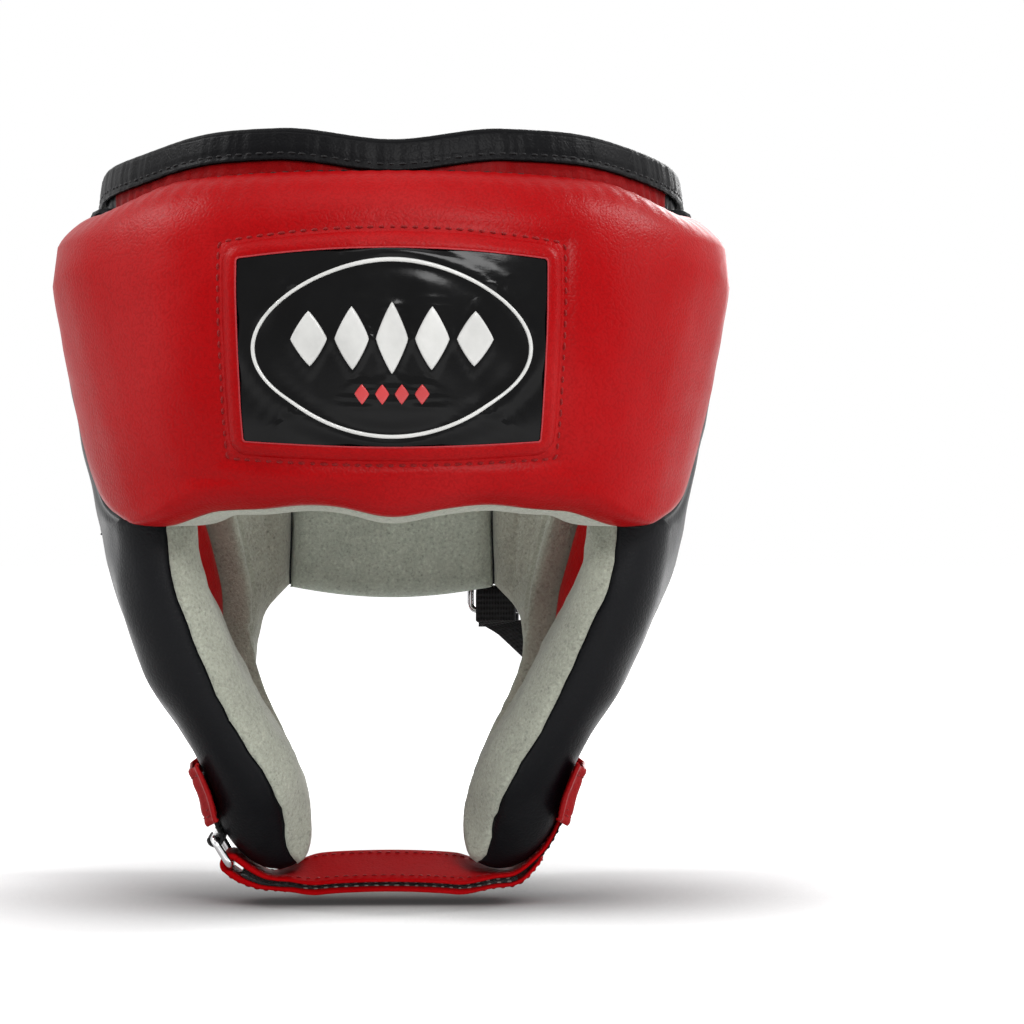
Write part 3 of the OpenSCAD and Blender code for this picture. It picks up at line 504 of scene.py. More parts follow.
def ribbed(name, color, pitch, depth):
    """Woven elastic or webbing: ribs a pitch apart, in mm, up the unwrapped strip."""
    p = Paint(name, color, 0.85, Sheen_Weight=0.15, Sheen_Roughness=0.4)
    split = p.node("SeparateXYZ")
    p.wire(p.node("TexCoord").outputs["UV"], split.inputs[0])
    turns = lambda out, step: p.math("MULTIPLY", out, 2 * math.pi / (step * 0.001))
    rib = p.math("SINE", turns(split.outputs["Y"], pitch))
    fine = p.math("SINE", turns(split.outputs["X"], pitch * 0.55))
    weave = p.math("ADD", p.math("MULTIPLY", rib, 0.35), p.math("MULTIPLY", fine, 0.15))
    height = p.math("ADD", weave, 0.5)
    fuzz = p.noise(1500, 2)
    p.base(p.mix(height, times(color, 0.45), times(color, 1.7)))
    p.bump(height, depth)
    p.bump(fuzz, 0.1)
    return p.material


def pile(name, color, scale, depth):
    """Loop pile or hooks: a dense field of small tufts."""
    p = Paint(name, color, 0.95, Sheen_Weight=0.2)
    tuft = p.cells(scale, "F1", randomness=0.8)
    height = p.ramp(tuft, [(0.1, 1.0), (0.65, 0.0)])
    p.base(p.mix(height, times(color, 0.4), times(color, 1.8)))
    p.bump(height, depth)
    p.bump(p.noise(scale * 2.5, 3), depth * 0.4)
    return p.material


def wire_metal():
    p = Paint("plated_wire", (0.72, 0.72, 0.73), 0.16, Metallic=1.0)
    p.roughness(p.ramp(p.noise(260, 4, 0.7), [(0.35, 0.1), (0.75, 0.3)]))
    p.base(p.ramp(p.noise(120, 3), [(0.35, (0.55, 0.55, 0.56)), (0.65, (0.82, 0.82, 0.83))]))
    p.bump(p.noise(700, 3), 0.02)
    return p.material


def moulded(name, color, rough, coat=0.0, wave=0.0, gloss=0.5):
    """Moulded sheet or print: nearly plain, with faint ripples and dust."""
    p = Paint(name, color, rough, Coat_Weight=coat, Coat_Roughness=0.05, Specular_IOR_Level=gloss)
    dust = p.noise(60, 4, 0.6)
    p.base(p.ramp(dust, [(0.3, times(color, 0.86)), (0.7, times(color, 1.12, 0.002))]))
    p.roughness(p.ramp(p.noise(300, 4, 0.7), [(0.3, rough * 0.8), (0.7, rough * 1.25)]))
    p.bump(p.noise(38, 2), wave)
    p.bump(p.noise(900, 2), 0.01)
    return p.material


def thread(name, color):
    """Twisted sewing thread."""
    p = Paint(name, color, 0.55, Sheen_Weight=0.1, Specular_IOR_Level=0.15)
    twist = p.noise(2600, 2)
    p.base(p.ramp(twist, [(0.3, times(color, 0.6)), (0.7, times(color, 1.25))]))
    p.bump(twist, 0.08)
    return p.material


RED_RGB, BLACK_RGB, SUEDE_RGB = rgb(150, 10, 15), rgb(10, 11, 15), rgb(160, 163, 149)
RED = leather("red_leather", RED_RGB, 0.36, 1300, depth=0.055, wrinkle=0.16, tint=0.10,
              gloss=0.08)
RED_SOFT = leather("red_strap_leather", rgb(140, 10, 15), 0.44, 1500)
RED_MATT = leather("red_chin_leather", rgb(156, 13, 18), 0.6, 1500,
                   gloss=0.01)
BLACK = leather("black_leather", BLACK_RGB, 0.38, 1250, wrinkle=0.22, tint=0.16)
SUEDE = suede("suede", SUEDE_RGB)
# the rear lining's suede is greener than the rest, and lighter: painted light against the shade
# inside the back of the shell
REAR_SUEDE_PAINTED_LIGHT = suede("rear_suede_painted_light", rgb(178, 188, 174))
# the top binding is a darker copy of the black leather: painted shade where the top lamp lights it
BINDING_SHADED = leather("binding_leather_shaded", rgb(8, 8, 11), 0.42, 1250,
                gloss=0.08)
# the brow collar's red is a darker copy of the red leather: painted shade for the shade in its
# folds
COLLAR_RED_SHADED = leather("collar_leather_shaded", rgb(122, 8, 12), 0.5, 1400,
                     gloss=0.06)
ELASTIC = ribbed("elastic", rgb(27, 27, 29), 1.5, 0.35)
WEBBING = ribbed("webbing", rgb(27, 27, 29), 1.9, 0.5)
LOOP = pile("loop_pile", rgb(26, 26, 28), 900, 0.5)
HOOK = pile("hook_tape", rgb(22, 22, 24), 620, 0.5)
WIRE = wire_metal()
BADGE = moulded("badge_sheet", rgb(5, 5, 7), 0.13, wave=0.12, gloss=0.12)
PRINT = moulded("badge_print", rgb(196, 196, 193), 0.38, coat=0.4)
RED_PRINT = moulded("badge_red_print", rgb(176, 30, 34), 0.35, coat=0.4)
# pale pink for the window's worn cut edge, and also a painted highlight on the roll's crest
WORN_AND_SHEEN = leather("worn_and_sheen_red_edge", rgb(164, 54, 58), 0.6, 1500, depth=0.03, wrinkle=0.1)
RED_THREAD = thread("red_thread", rgb(122, 7, 11))
STRAP_THREAD = thread("strap_thread", rgb(118, 9, 14))
BLACK_THREAD = thread("black_thread", rgb(14, 14, 16))
PALE_THREAD = thread("pale_thread", rgb(128, 122, 116))

# each group of stitches: its thread, pitch and length, then thickness and rise if not plain
PLAIN_THREAD = (0.62, 0.42)
SEWN = {
    "ear_straps": (BLACK_THREAD, 3.1, 2.3),
    "badge_frame": (RED_THREAD, 3.5, 2.3, 0.85, 0.45),
    "binding": (BLACK_THREAD, 3.6, 2.6, 0.7, 0.42),
    "collar": (BLACK_THREAD, 3.8, 2.6),
    "elastic": (BLACK_THREAD, 3.2, 2.3),
    "cheek_patches": (RED_THREAD, 2.9, 2.1, 0.6, 0.42),
    "chin_facing": (BLACK_THREAD, 2.9, 2.1),
    "chin_strap": (STRAP_THREAD, 3.1, 2.2),
    "chin_tail": (RED_THREAD, 3.1, 2.2),
    "chin_loop": (PALE_THREAD, 3.4, 2.0, 0.55, 0.3),
    "chin_hook": (PALE_THREAD, 3.4, 2.0, 0.55, 0.3),
    "ring_loop": (PALE_THREAD, 2.7, 1.9),
    "upper_root": (RED_THREAD, 3.1, 2.2),
    "upper_strap": (RED_THREAD, 3.1, 2.2),
    "lower_tail": (RED_THREAD, 3.1, 2.2),
    "lower_root": (RED_THREAD, 3.1, 2.2),
}


# ---- shared shapes -----------------------------------------------------------------------------
def lumps(p, size, seed=0):
    """Slow waves in space from about -1 to 1, the same every run."""
    rng = np.random.default_rng(seed)
    total = 0
    for _ in range(7):
        d = rng.standard_normal(3)
        d /= np.linalg.norm(d)
        total = total + np.sin((p @ d) * 2 * math.pi / (size * (0.6 + 0.9 * rng.random()))
                               + 6.28 * rng.random())
    return total / 3.5


def sheet(name, g, t, material, sign, bevel=0.3):
    """A thin closed layer below a grid of points. sign turns the outward side."""
    n = sign * unit(np.cross(np.gradient(g, axis=0), np.gradient(g, axis=1)))
    rows, cols = g.shape[:2]
    low, rim = g - t * n, g - t / 2 * n
    for edge, near in ((np.s_[0], np.s_[1]), (np.s_[-1], np.s_[-2]),
                       (np.s_[:, 0], np.s_[:, 1]), (np.s_[:, -1], np.s_[:, -2])):
        out = unit(g[edge] - g[near])
        rim[edge] = rim[edge] + bevel * t * out
    sheet_faces = np.array(quads(rows, cols))
    idx = np.arange(rows * cols).reshape(rows, cols)
    loop = np.r_[idx[0], idx[1:, -1], idx[-1, -2::-1], idx[-2:0:-1, 0]]
    k = len(loop)
    size = rows * cols
    faces = sheet_faces.tolist() + (sheet_faces[:, ::-1] + size).tolist()
    after = np.roll(loop, -1)
    mids, mids2 = 2 * size + np.arange(k), 2 * size + (np.arange(k) + 1) % k
    faces += np.stack([after, loop, mids, mids2], -1).tolist()
    faces += np.stack([mids2, mids, loop + size, after + size], -1).tolist()
    if sign < 0:
        faces = [f[::-1] for f in faces]
    points = np.concatenate([g.reshape(-1, 3), low.reshape(-1, 3), rim.reshape(-1, 3)[loop]])
    # the normals above point along cross(rows, columns): quads wind the other way round
    return mesh(name, points, [f[::-1] for f in faces], material)


def replace(obj, slot, *nodes, fill=None):
    """Hide the solids that a piece stands for; the piece, its slot and how full its padding is are
    not used.
    """
    if nodes:
        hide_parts(*nodes)


def sew_row(group, place, u, v, n, n_out, **look):
    """Stitches along a row on a strip at height n, standing up towards height n_out."""
    line = place(u, v, n)
    stitch(group, line, place(u, v, n_out) - line, **look)


def sided(g, side):
    """Points made for the left side, on the side given."""
    return g * np.array([side, 1, 1])


def hand(side):
    return "left" if side > 0 else "right"


COVER_T, LINING_T = 1.2, 1.0  # the leather over a pad and the suede inside it

# ---- brow pad ----------------------------------------------------------------------------------
BROW_H = BROW_TOP_Z - BROW_LOW_Z
LOW_ROUND, TOP_ROUND = 13.0, 22.0
FRAME_OUT = 5.0  # from the badge's edge to the stitches round it
BADGE_X, BADGE_SPREAD = BADGE_W / 2, 0.88


def brow_place(u, v):
    s = along(SEAM, 1 - np.clip(v, 0, 1))
    edge = angle_of(s[..., 0], s[..., 1])
    return u * edge, lerp(lerp(BROW_LOW_Z + 1, BROW_TOP_Z, v), s[..., 1], np.abs(u) ** 2.2)


def profile(low, high, n_low, n_mid, n_high, start):
    """Shares of height and of thickness up a pad that is rounded below and above."""
    f, g = np.linspace(start, 90, n_low), np.linspace(90, 0, n_high)
    v = np.r_[low * (1 - cos(f)), np.linspace(low, 1 - high, n_mid + 2)[1:-1],
              1 - high * (1 - cos(g))]
    n = np.r_[sin(f), np.ones(n_mid), sin(g)]
    return v, n


def badge_taper(z):
    """The badge is a little narrower below than above, z from its centre."""
    return 0.972 + 0.022 * np.clip(z / 30, -1.3, 1.3)


def badge_barrel(x, z):
    """Its top edge arches up and its bottom edge arches down."""
    return 1 - np.where(z > 0, 0.095, 0.05) * np.minimum((x / 50) ** 2, 1.6)


def badge_corner(x, z):
    """How far outside the badge's outline a place is, in mm across and up."""
    z = z - BADGE_Z
    return np.abs(x) / badge_taper(z) - BADGE_X, np.abs(z) / badge_barrel(x, z) - BADGE_H / 2


def edge_dip(x):
    """How far the brow's lower edge sags and waves, across the face."""
    return 2.9 * bump(x + 1, 12.0) + 0.55 * np.sin(x / 8.5 + 0.6) - 0.7 * bump(np.abs(x) - 30, 12)


def shoulder(w):
    """How far the brow's top slopes down at the share w of its half width."""
    return 8.0 * smooth(np.abs(w), 0.55, 0.9) * arch(np.minimum(np.abs(w), 1)) ** 0.5


def brow_face(sign, start):
    """The brow pad's outer (1) or inner (-1) face; its low edge starts at the angle start."""
    v, n = profile(LOW_ROUND / BROW_H, TOP_ROUND / BROW_H, 12, 56, 18, start)
    w = np.r_[-1, -0.996, -0.985, -0.97, -0.955, np.linspace(-0.93, 0.93, 171), 0.955, 0.97,
              0.985, 0.996, 1]
    V, W = np.meshgrid(v, w, indexing="ij")
    N = np.broadcast_to(n[:, None], V.shape)
    # the pad is rounded more tightly towards its ends than in the middle
    out = smooth(np.abs(W), 0.5, 0.9)
    high, low = TOP_ROUND / BROW_H, LOW_ROUND / BROW_H
    V = np.where(V > 1 - high, 1 - (1 - V) * lerp(1.0, 0.70, out), V)
    V = np.where(V < low, V * lerp(1.0, 0.45, out), V)
    a, z = brow_place(W * (1 - 2 * GAP / 118), lerp(GAP / BROW_H / 2, 1 - GAP / BROW_H / 2, V))
    side = arch(np.maximum(np.abs(W) - 0.955, 0) / 0.045)
    rise = BROW_T / 2 * N * side
    p = surf(a, z, 0)
    if sign > 0:
        x = sin(a) * BROW_REACH / BADGE_SPREAD
        dx, dz = badge_corner(x, z)
        outside = np.maximum(dx, dz)
        line = bump(outside - FRAME_OUT - 0.2, 1.7) + 0.35 * bump(outside - FRAME_OUT - 1, 4.5)
        puff = smooth(outside, FRAME_OUT, 24) * (1 - smooth(outside, 60, 90))
        rise = rise - 0.9 * line * (np.abs(rise) > 8) + 0.7 * puff
        crease = bump(z - (BROW_LOW_Z + 9.5 + 1.4 * np.sin(x / 13) + 1.5 * (x / 60) ** 2), 2.4)
        rise = rise - 0.55 * crease * (1 - smooth(np.abs(x), 40, 95))
        rise = rise + (0.35 * lumps(p, 46, 3) + 0.12 * lumps(p, 14, 4)) \
            * smooth(np.abs(outside - FRAME_OUT), 1, 9)
        rise = rise + 2.8 * bump(z - 90, 12) * smooth(np.abs(W), 0.55, 0.9) * side
        # the top edge is drawn in by the collar's seam
        rise = rise - 0.5 * (0.5 + 0.5 * np.sin(a * 2.1)) * smooth(V, 0.86, 0.97) * side
    else:
        rise = rise + 0.5 * lumps(p, 30, 5) * side
    g = surf(a, z, sign * np.maximum(rise, LEAST))
    g[..., 2] -= edge_dip(g[..., 0]) * (1 - smooth(z, BROW_LOW_Z, BROW_LOW_Z + 15)) \
        * (1 - smooth(np.abs(W), 0.35, 0.6))
    # the shoulders slope down to the seam, and the lower corners hang a little
    g[..., 2] -= shoulder(W) * smooth(z, 86, 114)
    g[..., 2] -= 3.2 * (1 - smooth(z, BROW_LOW_Z, 42)) * smooth(np.abs(W), 0.62, 0.86) \
        * (1 - smooth(np.abs(W), 0.9, 1))
    return g


cover = brow_face(1, 26.0)
replace(sheet("brow_cover", cover, COVER_T, RED, sign=1), "red_leather", "brow_cover",
        "brow_foam", fill=0.85)

# the lining starts on the cover's lower edge, runs under the pad and up its inner face
under, inner = brow_face(1, 0.0), brow_face(-1, 0.0)
front_low = under[:4][::-1]
front_low[0] = lerp(cover[0], front_low[0], 0.15)
lining = np.concatenate([front_low, inner[1:]])
replace(sheet("brow_lining", lining, LINING_T, SUEDE, sign=-1), "suede", "brow_lining", fill=0.8)


# ---- side shells -------------------------------------------------------------------------------
def slim(z):
    """How much thinner than the CAD's the outside of the cheek is, so that it lies closer."""
    return 2.5 * bump(z + 57, 17)


EDGE_STEPS = [30, 34, 44, 24, 30]
EAR_ROUND = 9.0


def edge_samples():
    yz, r = [], []
    for e, steps in enumerate(EDGE_STEPS):
        u = np.arange(steps) / steps
        yz.append(along(EDGES[e], u))
        first = (EDGE_ROUND[e - 1] + EDGE_ROUND[e]) / 2
        r.append(lerp(first, EDGE_ROUND[e], np.minimum(u * 3, 1)))
    return np.concatenate(yz), np.concatenate(r)


EDGE_YZ, EDGE_R = edge_samples()
EAR_T = np.degrees(np.arctan2((EDGE_YZ[:, 1] - RING_Z) / RING_HALF_H, EDGE_YZ[:, 0] / RING_HALF_W))
EAR_YZ = ear_edge(EAR_T, GAP / 2)


def side_face(side, sign, d=0.0):
    """The side pad from the ear ring to its edge: rows round the edge, columns across."""
    ear_a, edge_a = angle_of(*EAR_YZ.T), angle_of(*EDGE_YZ.T)
    ear_z, edge_z = EAR_YZ[:, 1], EDGE_YZ[:, 1]
    length = np.linalg.norm(surf(ear_a, ear_z, 0) - surf(edge_a, edge_z, 0), axis=-1)
    fit = np.minimum(1, 0.92 * length / (EAR_ROUND + EDGE_R))
    r1, r2 = (EAR_ROUND * fit)[:, None], (EDGE_R * fit)[:, None]
    f = np.linspace(0, 90, 10)
    run = np.linspace(0, 1, 24)[1:-1][None]
    L = length[:, None]
    dist = np.concatenate([d + (r1 - d) * (1 - cos(f)), lerp(r1, L - r2, run),
                           L - d - (r2 - d) * (1 - cos(f[::-1]))], 1)
    share = np.concatenate([sin(f), np.ones(run.shape[1]), sin(f[::-1])])[None]
    u = dist / L
    a, z = lerp(ear_a[:, None], edge_a[:, None], u), lerp(ear_z[:, None], edge_z[:, None], u)
    rise = side_half(a, z) * share
    p = sided(surf(a, z, 0), side)
    inside = smooth(dist, 0, 9) * smooth(L - dist, 0, 12)
    front = smooth(-p[..., 1], 20, 62)
    if sign > 0:
        # padded leather: slow lumps, and creases that run in from the cheek's front edge
        crease = np.sin(z / 5.1 + 1.7 * lumps(p, 60, 11)) * np.sin(z / 13.0 + 2)
        rise = rise + inside * (0.55 * lumps(p, 42, 12) + 0.16 * lumps(p, 15, 13))
        rise = rise + 0.45 * crease * front * smooth(L - dist, 1, 8) * bump(L - dist - 12, 13)
        rise = rise - slim(z) * share
        # behind the brow's shoulder the shell slopes in
        rise = rise - 6.5 * smooth(z, 74, 100) * smooth(-p[..., 1], -24, 12) * inside
        rise = rise - 2.4 * smooth(z, 5, 45) * bump(p[..., 1], 34) * inside
        # the edge above the cheek is drawn in by the brow's seam
        rise = rise - 0.8 * bump(L - dist - 6, 3) * (z > 8) * (p[..., 1] < -40)
    else:
        rise = rise + inside * 0.6 * lumps(p, 30, 14) + 0.25 * share * lumps(p, 9, 15)
        # the lining stands up beside the ear ring, in front of it most of all
        rise = rise + 1.6 * bump(dist - 11, 8) * smooth(-p[..., 1], 0, 40)
        # it thins towards the brow, and is folded down round the back of the ring
        rise = rise - 3.0 * smooth(z, -45, 5) * smooth(-p[..., 1], 25, 55) * inside
        rise = rise + 1.2 * bump(z + 76, 18) * smooth(-p[..., 1], 10, 50) * inside
        rise = rise + 2.2 * bump(dist - 5, 6) * smooth(p[..., 1], 0, 16) * smooth(z, -60, -35)
        back = smooth(p[..., 1], 10, 30)
        rise = rise - back * (1.5 * bump(dist - 10, 1.6) + 0.7 * bump(dist - 23 - 0.12 * z, 1.5))
        cross = p[..., 2] + 17 + 0.55 * (p[..., 1] - 20)
        rise = rise - 0.9 * bump(cross, 1.4) * smooth(p[..., 1], 22, 30) * inside
    return sided(surf(a, z, sign * np.maximum(rise, LEAST)), side)


def ring_sheet(name, g, t, material, sign):
    """A thin closed layer below a grid whose rows run round a loop."""
    n = sign * unit(np.cross(np.roll(g, -1, 0) - np.roll(g, 1, 0), np.gradient(g, axis=1)))
    low = g - t * n
    section = np.concatenate([g, low[:, ::-1]], 1)
    return skin(name, section, material, close_rows=True, close_cols=True, flip=sign > 0)


LAST = 11


def meet(outer, inner, side):
    """Recut a pad's two faces so that they meet where the leather's edge lies.

    Down the cheek the cover wraps over the front edge onto the lining's side.
    """
    path = np.concatenate([outer[:, -LAST:], inner[:, -2:-LAST - 1:-1]], 1)
    step = np.linalg.norm(np.diff(path, axis=1), axis=-1)
    s = np.concatenate([np.zeros((len(path), 1)), np.cumsum(step, 1)], 1)
    edge = outer[:, -1]
    wrap = np.interp(edge[:, 2], [-104, -94, -86, -78, -70, -55, -43, -26, -8],
                     [1.0, 6.0, 5.6, 4.8, 4.3, 3.4, 2.8, 2.2, 0])
    wrap = wrap * (0.88 if side > 0 else 1.1) * smooth(-edge[:, 1], 48, 60) - 0.4 \
        + 2.6 * smooth(edge[:, 2], 68, 88)
    cut = s[:, LAST - 1] + wrap + 0.14 * lumps(edge, 9, 21) + 0.34 * lumps(edge, 1.5, 22)
    pick = lambda at: np.stack([between(t, s[i], path[i]) for i, t in enumerate(at)])
    share = np.linspace(0, 1, LAST)
    front = np.stack([pick(cut * k) for k in share], 1)
    rear = np.stack([pick(lerp(s[:, -1], cut - 0.5, k)) for k in share], 1)
    lift = np.r_[np.zeros(LAST - 3), 0.25, 0.55, 0.35]
    way = unit(rear - lerp(outer[:, -LAST], inner[:, -LAST], 0.5)[:, None])
    rear = rear + lift[:, None] * way
    tuck = rear[:, -1] - 0.6 * way[:, -1]
    return (np.concatenate([outer[:, :-LAST], front], 1),
            np.concatenate([inner[:, :-LAST], rear, tuck[:, None]], 1))


for side in (1, -1):
    outer, inner = meet(side_face(side, 1), side_face(side, -1), side)
    pad = hand(side) + "_side_"
    cover = ring_sheet(pad + "cover", outer, COVER_T, BLACK, -side)
    replace(cover, "black_leather", pad + "cover", pad + "foam", fill=0.85)
    lining = ring_sheet(pad + "lining", inner, LINING_T, SUEDE, side)
    replace(lining, "suede", pad + "lining", fill=0.8)


# ---- ear rings, straps and roundels ------------------------------------------------------------
STRAP_PRESS = 3.2  # how deep the strap presses into the ring
RING_T = np.arange(220) * 360 / 220


def ring_place(t, f, side, puff=0.0):
    """A point on the stuffed ring at ring angle t and section angle f."""
    p, q = ear_hole(t, 0), ear_edge(t, -GAP / 2)
    c, h = (p + q) / 2, (q - p) / 2
    e = lambda x: np.sign(x) * np.abs(x) ** 0.92
    y = c + h * e(cos(f))[..., None]
    z = y[..., 1]
    return sided(surf(angle_of(y[..., 0], z), z, (ROLL_T / 2 + puff) * e(sin(f))), side)


for side in (1, -1):
    T, F = np.meshgrid(RING_T, np.arange(40) * 9.0, indexing="ij")
    low = bump(T - 270 + 3 * sin(F * 2), 34)
    tip = bump(T - 270, 5.0)
    wander = 2.0 * lumps(np.stack([T, F * 0.4, 0 * T], -1), 60, 31)
    gather = np.sin(T * 0.42 + 1.2 * sin(F + 40) + wander)
    hole_side = np.clip(-cos(F), 0, 1)
    puff = -0.75 * low * gather ** 2 * (0.35 + 0.65 * hole_side) - 2.1 * tip * np.abs(sin(F)) ** 0.3
    puff = puff - 0.35 * hole_side * (0.5 + 0.5 * np.sin(T * 0.55)) * (0.3 + 0.7 * low)
    puff = puff + 0.35 * lumps(np.stack([T * 0.7, F * 0.3, 0 * T], -1), 50, 32) - 0.3
    puff = puff - 3.6 * smooth(-sin(F), 0.1, 0.9)
    z = ring_place(T, F, side)[..., 2]
    puff = puff - (0.8 + 1.6 * smooth(z, 0, 45) + 0.7 * slim(z)) * np.clip(sin(F), 0, 1)
    # pressed in by the strap across it
    under = smooth(np.abs(z - EAR_STRAP_Z), EAR_STRAP_H / 2 + 3, EAR_STRAP_H / 2 - 2)
    puff = puff - (0.9 + STRAP_PRESS) * under * np.clip(sin(F), 0, 1) ** 0.5
    ring = skin(hand(side) + "_ear_ring", ring_place(T, F, side, puff), RED, close_rows=True,
                close_cols=True, flip=side > 0)
    replace(ring, "red_leather", hand(side) + "_ear_ring", fill=0.9)

STRAP_INSET, STRAP_TUCK, EAR_STRAP_T = 2.6, 4.0, 1.8


def ear_strap_place(side, u, z, rise):
    crest = RING_HALF_W - ROLL_W / 2
    y = lerp(-1, 1, u) * (RING_HALF_W - STRAP_INSET)
    e = np.maximum(np.abs(y) - crest, 0) / (RING_HALF_W - crest)
    n = lerp(ROLL_T / 2 - STRAP_PRESS, STRAP_TUCK, 1 - arch(e)) + 0.6
    n, z = np.broadcast_arrays(n, z)
    return sided(surf(angle_of(y, z), z, n + rise), side)


for side in (1, -1):
    u = np.r_[np.linspace(0, 0.2, 26)[:-1], np.linspace(0.2, 0.8, 44), np.linspace(0.8, 1, 26)[1:]]
    v = np.r_[-1, -0.985, -0.95, -0.9, np.linspace(-0.82, 0.82, 15), 0.9, 0.95, 0.985, 1]
    U, V = np.meshgrid(u, v, indexing="ij")
    ends = bump(np.minimum(U, 1 - U), 0.10)
    waist = 1 - 0.05 * ends
    z = EAR_STRAP_Z + V * EAR_STRAP_H / 2 * waist
    fold = 0.35 * smooth(np.abs(V), 0.70, 0.80) * arch(np.clip((np.abs(V) - 0.86) / 0.14, 0, 1))
    pleat = 0.35 * ends * np.sin(V * 11) + 0.12 * lumps(np.stack([U * 80, V * 14, U], -1), 18, 41)
    edge = 1 - arch(np.clip((np.abs(V) - 0.9) / 0.1, 0, 1))
    rise = EAR_STRAP_T + fold + pleat - 0.35 - 0.5 * edge
    g = ear_strap_place(side, U, z, rise)
    strap = sheet(hand(side) + "_ear_strap", g, 1.3, BLACK, sign=side, bevel=0.5)
    replace(strap, "black_leather", hand(side) + "_ear_strap")
    on_strap = lambda u, v, n: ear_strap_place(side, u, EAR_STRAP_Z + v * EAR_STRAP_H / 2, n)
    for v0 in (-0.78, 0.78):
        sew_row("ear_straps", on_strap, u[6:-6], v0, EAR_STRAP_T - 0.05, EAR_STRAP_T + 1)
    for u0 in (0.035, 0.965):
        sew_row("ear_straps", on_strap, u0, np.linspace(-0.8, 0.8, 20), EAR_STRAP_T - 0.1,
                EAR_STRAP_T + 1)

    # a plain round patch: a domed disc inside a groove and a raised rim
    seat = ear_strap_place(side, 0.5, EAR_STRAP_Z, EAR_STRAP_T + 0.2)
    out = unit(ear_strap_place(side, 0.5, EAR_STRAP_Z, EAR_STRAP_T + 1.2) - seat)
    across = unit(np.cross([0, 0, 1], out))
    up = np.cross(out, across)
    R = ROUNDEL_D / 2
    turned = [(R - 0.3, 0), (R, 0.25), (R, 0.75), (R - 0.35, 1.1), (R - 1.0, 1.2), (R - 1.5, 1.05),
              (R - 1.75, 0.7), (R - 2.1, 0.62), (R - 2.4, 0.85), (R - 3.0, 1.1), (R - 4.2, 1.22),
              (R - 6.0, 1.3), (R - 8.0, 1.34), (0.05, 1.36)]
    angles = np.arange(64) * 360 / 64
    rows = np.array([[seat + r * (cos(t) * across + sin(t) * up) + h * out for t in angles]
                     for r, h in turned])
    disc = skin(hand(side) + "_ear_roundel", rows, RED_SOFT, close_cols=True, caps=True)
    replace(disc, "red_leather", hand(side) + "_ear_roundel")


# ---- badge -------------------------------------------------------------------------------------
BADGE_SEAT = BROW_T / 2 + GAP


def badge_point(x, z, n):
    """A point over the badge's face: x across and z up from its centre, n outside its seat."""
    x, z = np.asarray(x, float), np.asarray(z, float)
    x, z = x * badge_taper(z), z * badge_barrel(x, z)
    a = np.degrees(np.arcsin(x / BROW_REACH * BADGE_SPREAD))
    return surf(a, BADGE_Z + z, BADGE_SEAT + n)


def rounded_box(half_x, half_z, corner, per_corner=8, per_side=14):
    """Points round a rectangle with round corners, anticlockwise, with a few along each side."""
    pts = []
    for k, (sx, sz) in enumerate(((1, 1), (-1, 1), (-1, -1), (1, -1))):
        t = np.linspace(0, 90, per_corner) + 90 * k
        pts.append(np.stack([sx * (half_x - corner) + corner * cos(t),
                             sz * (half_z - corner) + corner * sin(t)], -1))
    out = []
    for k in range(4):
        a, b = pts[k], pts[(k + 1) % 4]
        s = np.linspace(0, 1, per_side)[1:-1, None]
        out += [a, a[-1] + s * (b[0] - a[-1])]
    return np.concatenate(out)


def badge_sheet():
    """The moulded plate: its oval bed is domed, with a soft bead round it, in a flat field."""
    outline = rounded_box(BADGE_W / 2, BADGE_H / 2, 1.3)
    rows = [badge_point(*outline.T, n) for n in (0.0, 1.0, 1.5)]
    for share in np.r_[0.997, 0.985, 0.97, 0.955, 0.935, np.linspace(0.91, 0.05, 44)]:
        p = outline * share
        # bead and dome follow the oval; the field outside it is flat
        r = np.hypot(p[:, 0] / (OVAL_X + 0.6), p[:, 1] / (OVAL_Z + 0.6))
        away = (r - 1) * 30
        n = 1.62 + 0.75 * bump(away - 1.3, 1.3) - 0.35 * bump(away - 4.0, 1.5)
        n = n + 0.16 * (1 - smooth(r, 0.0, 0.93)) - 0.22 * bump(away + 3.2, 1.7)
        for x, half_x, half_z in MOTIFS:
            across, up = np.abs(p - [x, MOTIF_Z[half_x]]).T
            d = (across / half_x + up / half_z - 1) * half_x
            n = n + 0.42 * bump(d - 1.0, 1.0)
        n = n + 0.10 * lumps(np.stack([p[:, 0], p[:, 1], 0 * n], -1), 13, 91)
        rows.append(badge_point(*p.T, n))
    return np.array(rows)


PRINT_N = 1.7  # where the prints start, out from the badge's seat
# generic ornament where a badge would have its print: white lozenges, and smaller red ones below
MOTIFS = [(x, 5.6, 10.5 - 1.2 * abs(k - 2) ** 0.9) for k, x in enumerate(np.linspace(-27, 27, 5))]
MOTIFS += [(x, 2.5, 3.1) for x in np.linspace(-10.5, 10.5, 4)]
MOTIF_Z = {5.6: 3.2, 2.5: -13.6}
OVAL_X, OVAL_Z, OVAL_LINE = BADGE_W * 0.45, BADGE_H * 0.44, 1.1
plate = skin("badge_plate", badge_sheet(), BADGE, close_cols=True, caps=True, flip=True)
replace(plate, "badge_black", "badge_plate")

t = np.arange(200) * 1.8
bead = [(0, -0.15), (0.02, 0.35), (0.2, 0.52), (0.5, 0.60), (0.8, 0.52), (0.98, 0.35), (1, -0.15)]
oval = np.array([[badge_point((OVAL_X - w * OVAL_LINE) * cos(k), (OVAL_Z - w * OVAL_LINE) * sin(k),
                              1.75 + h) for w, h in bead] for k in t])
replace(skin("badge_oval", oval, PRINT, close_rows=True, close_cols=True), "badge_white",
        "badge_oval")


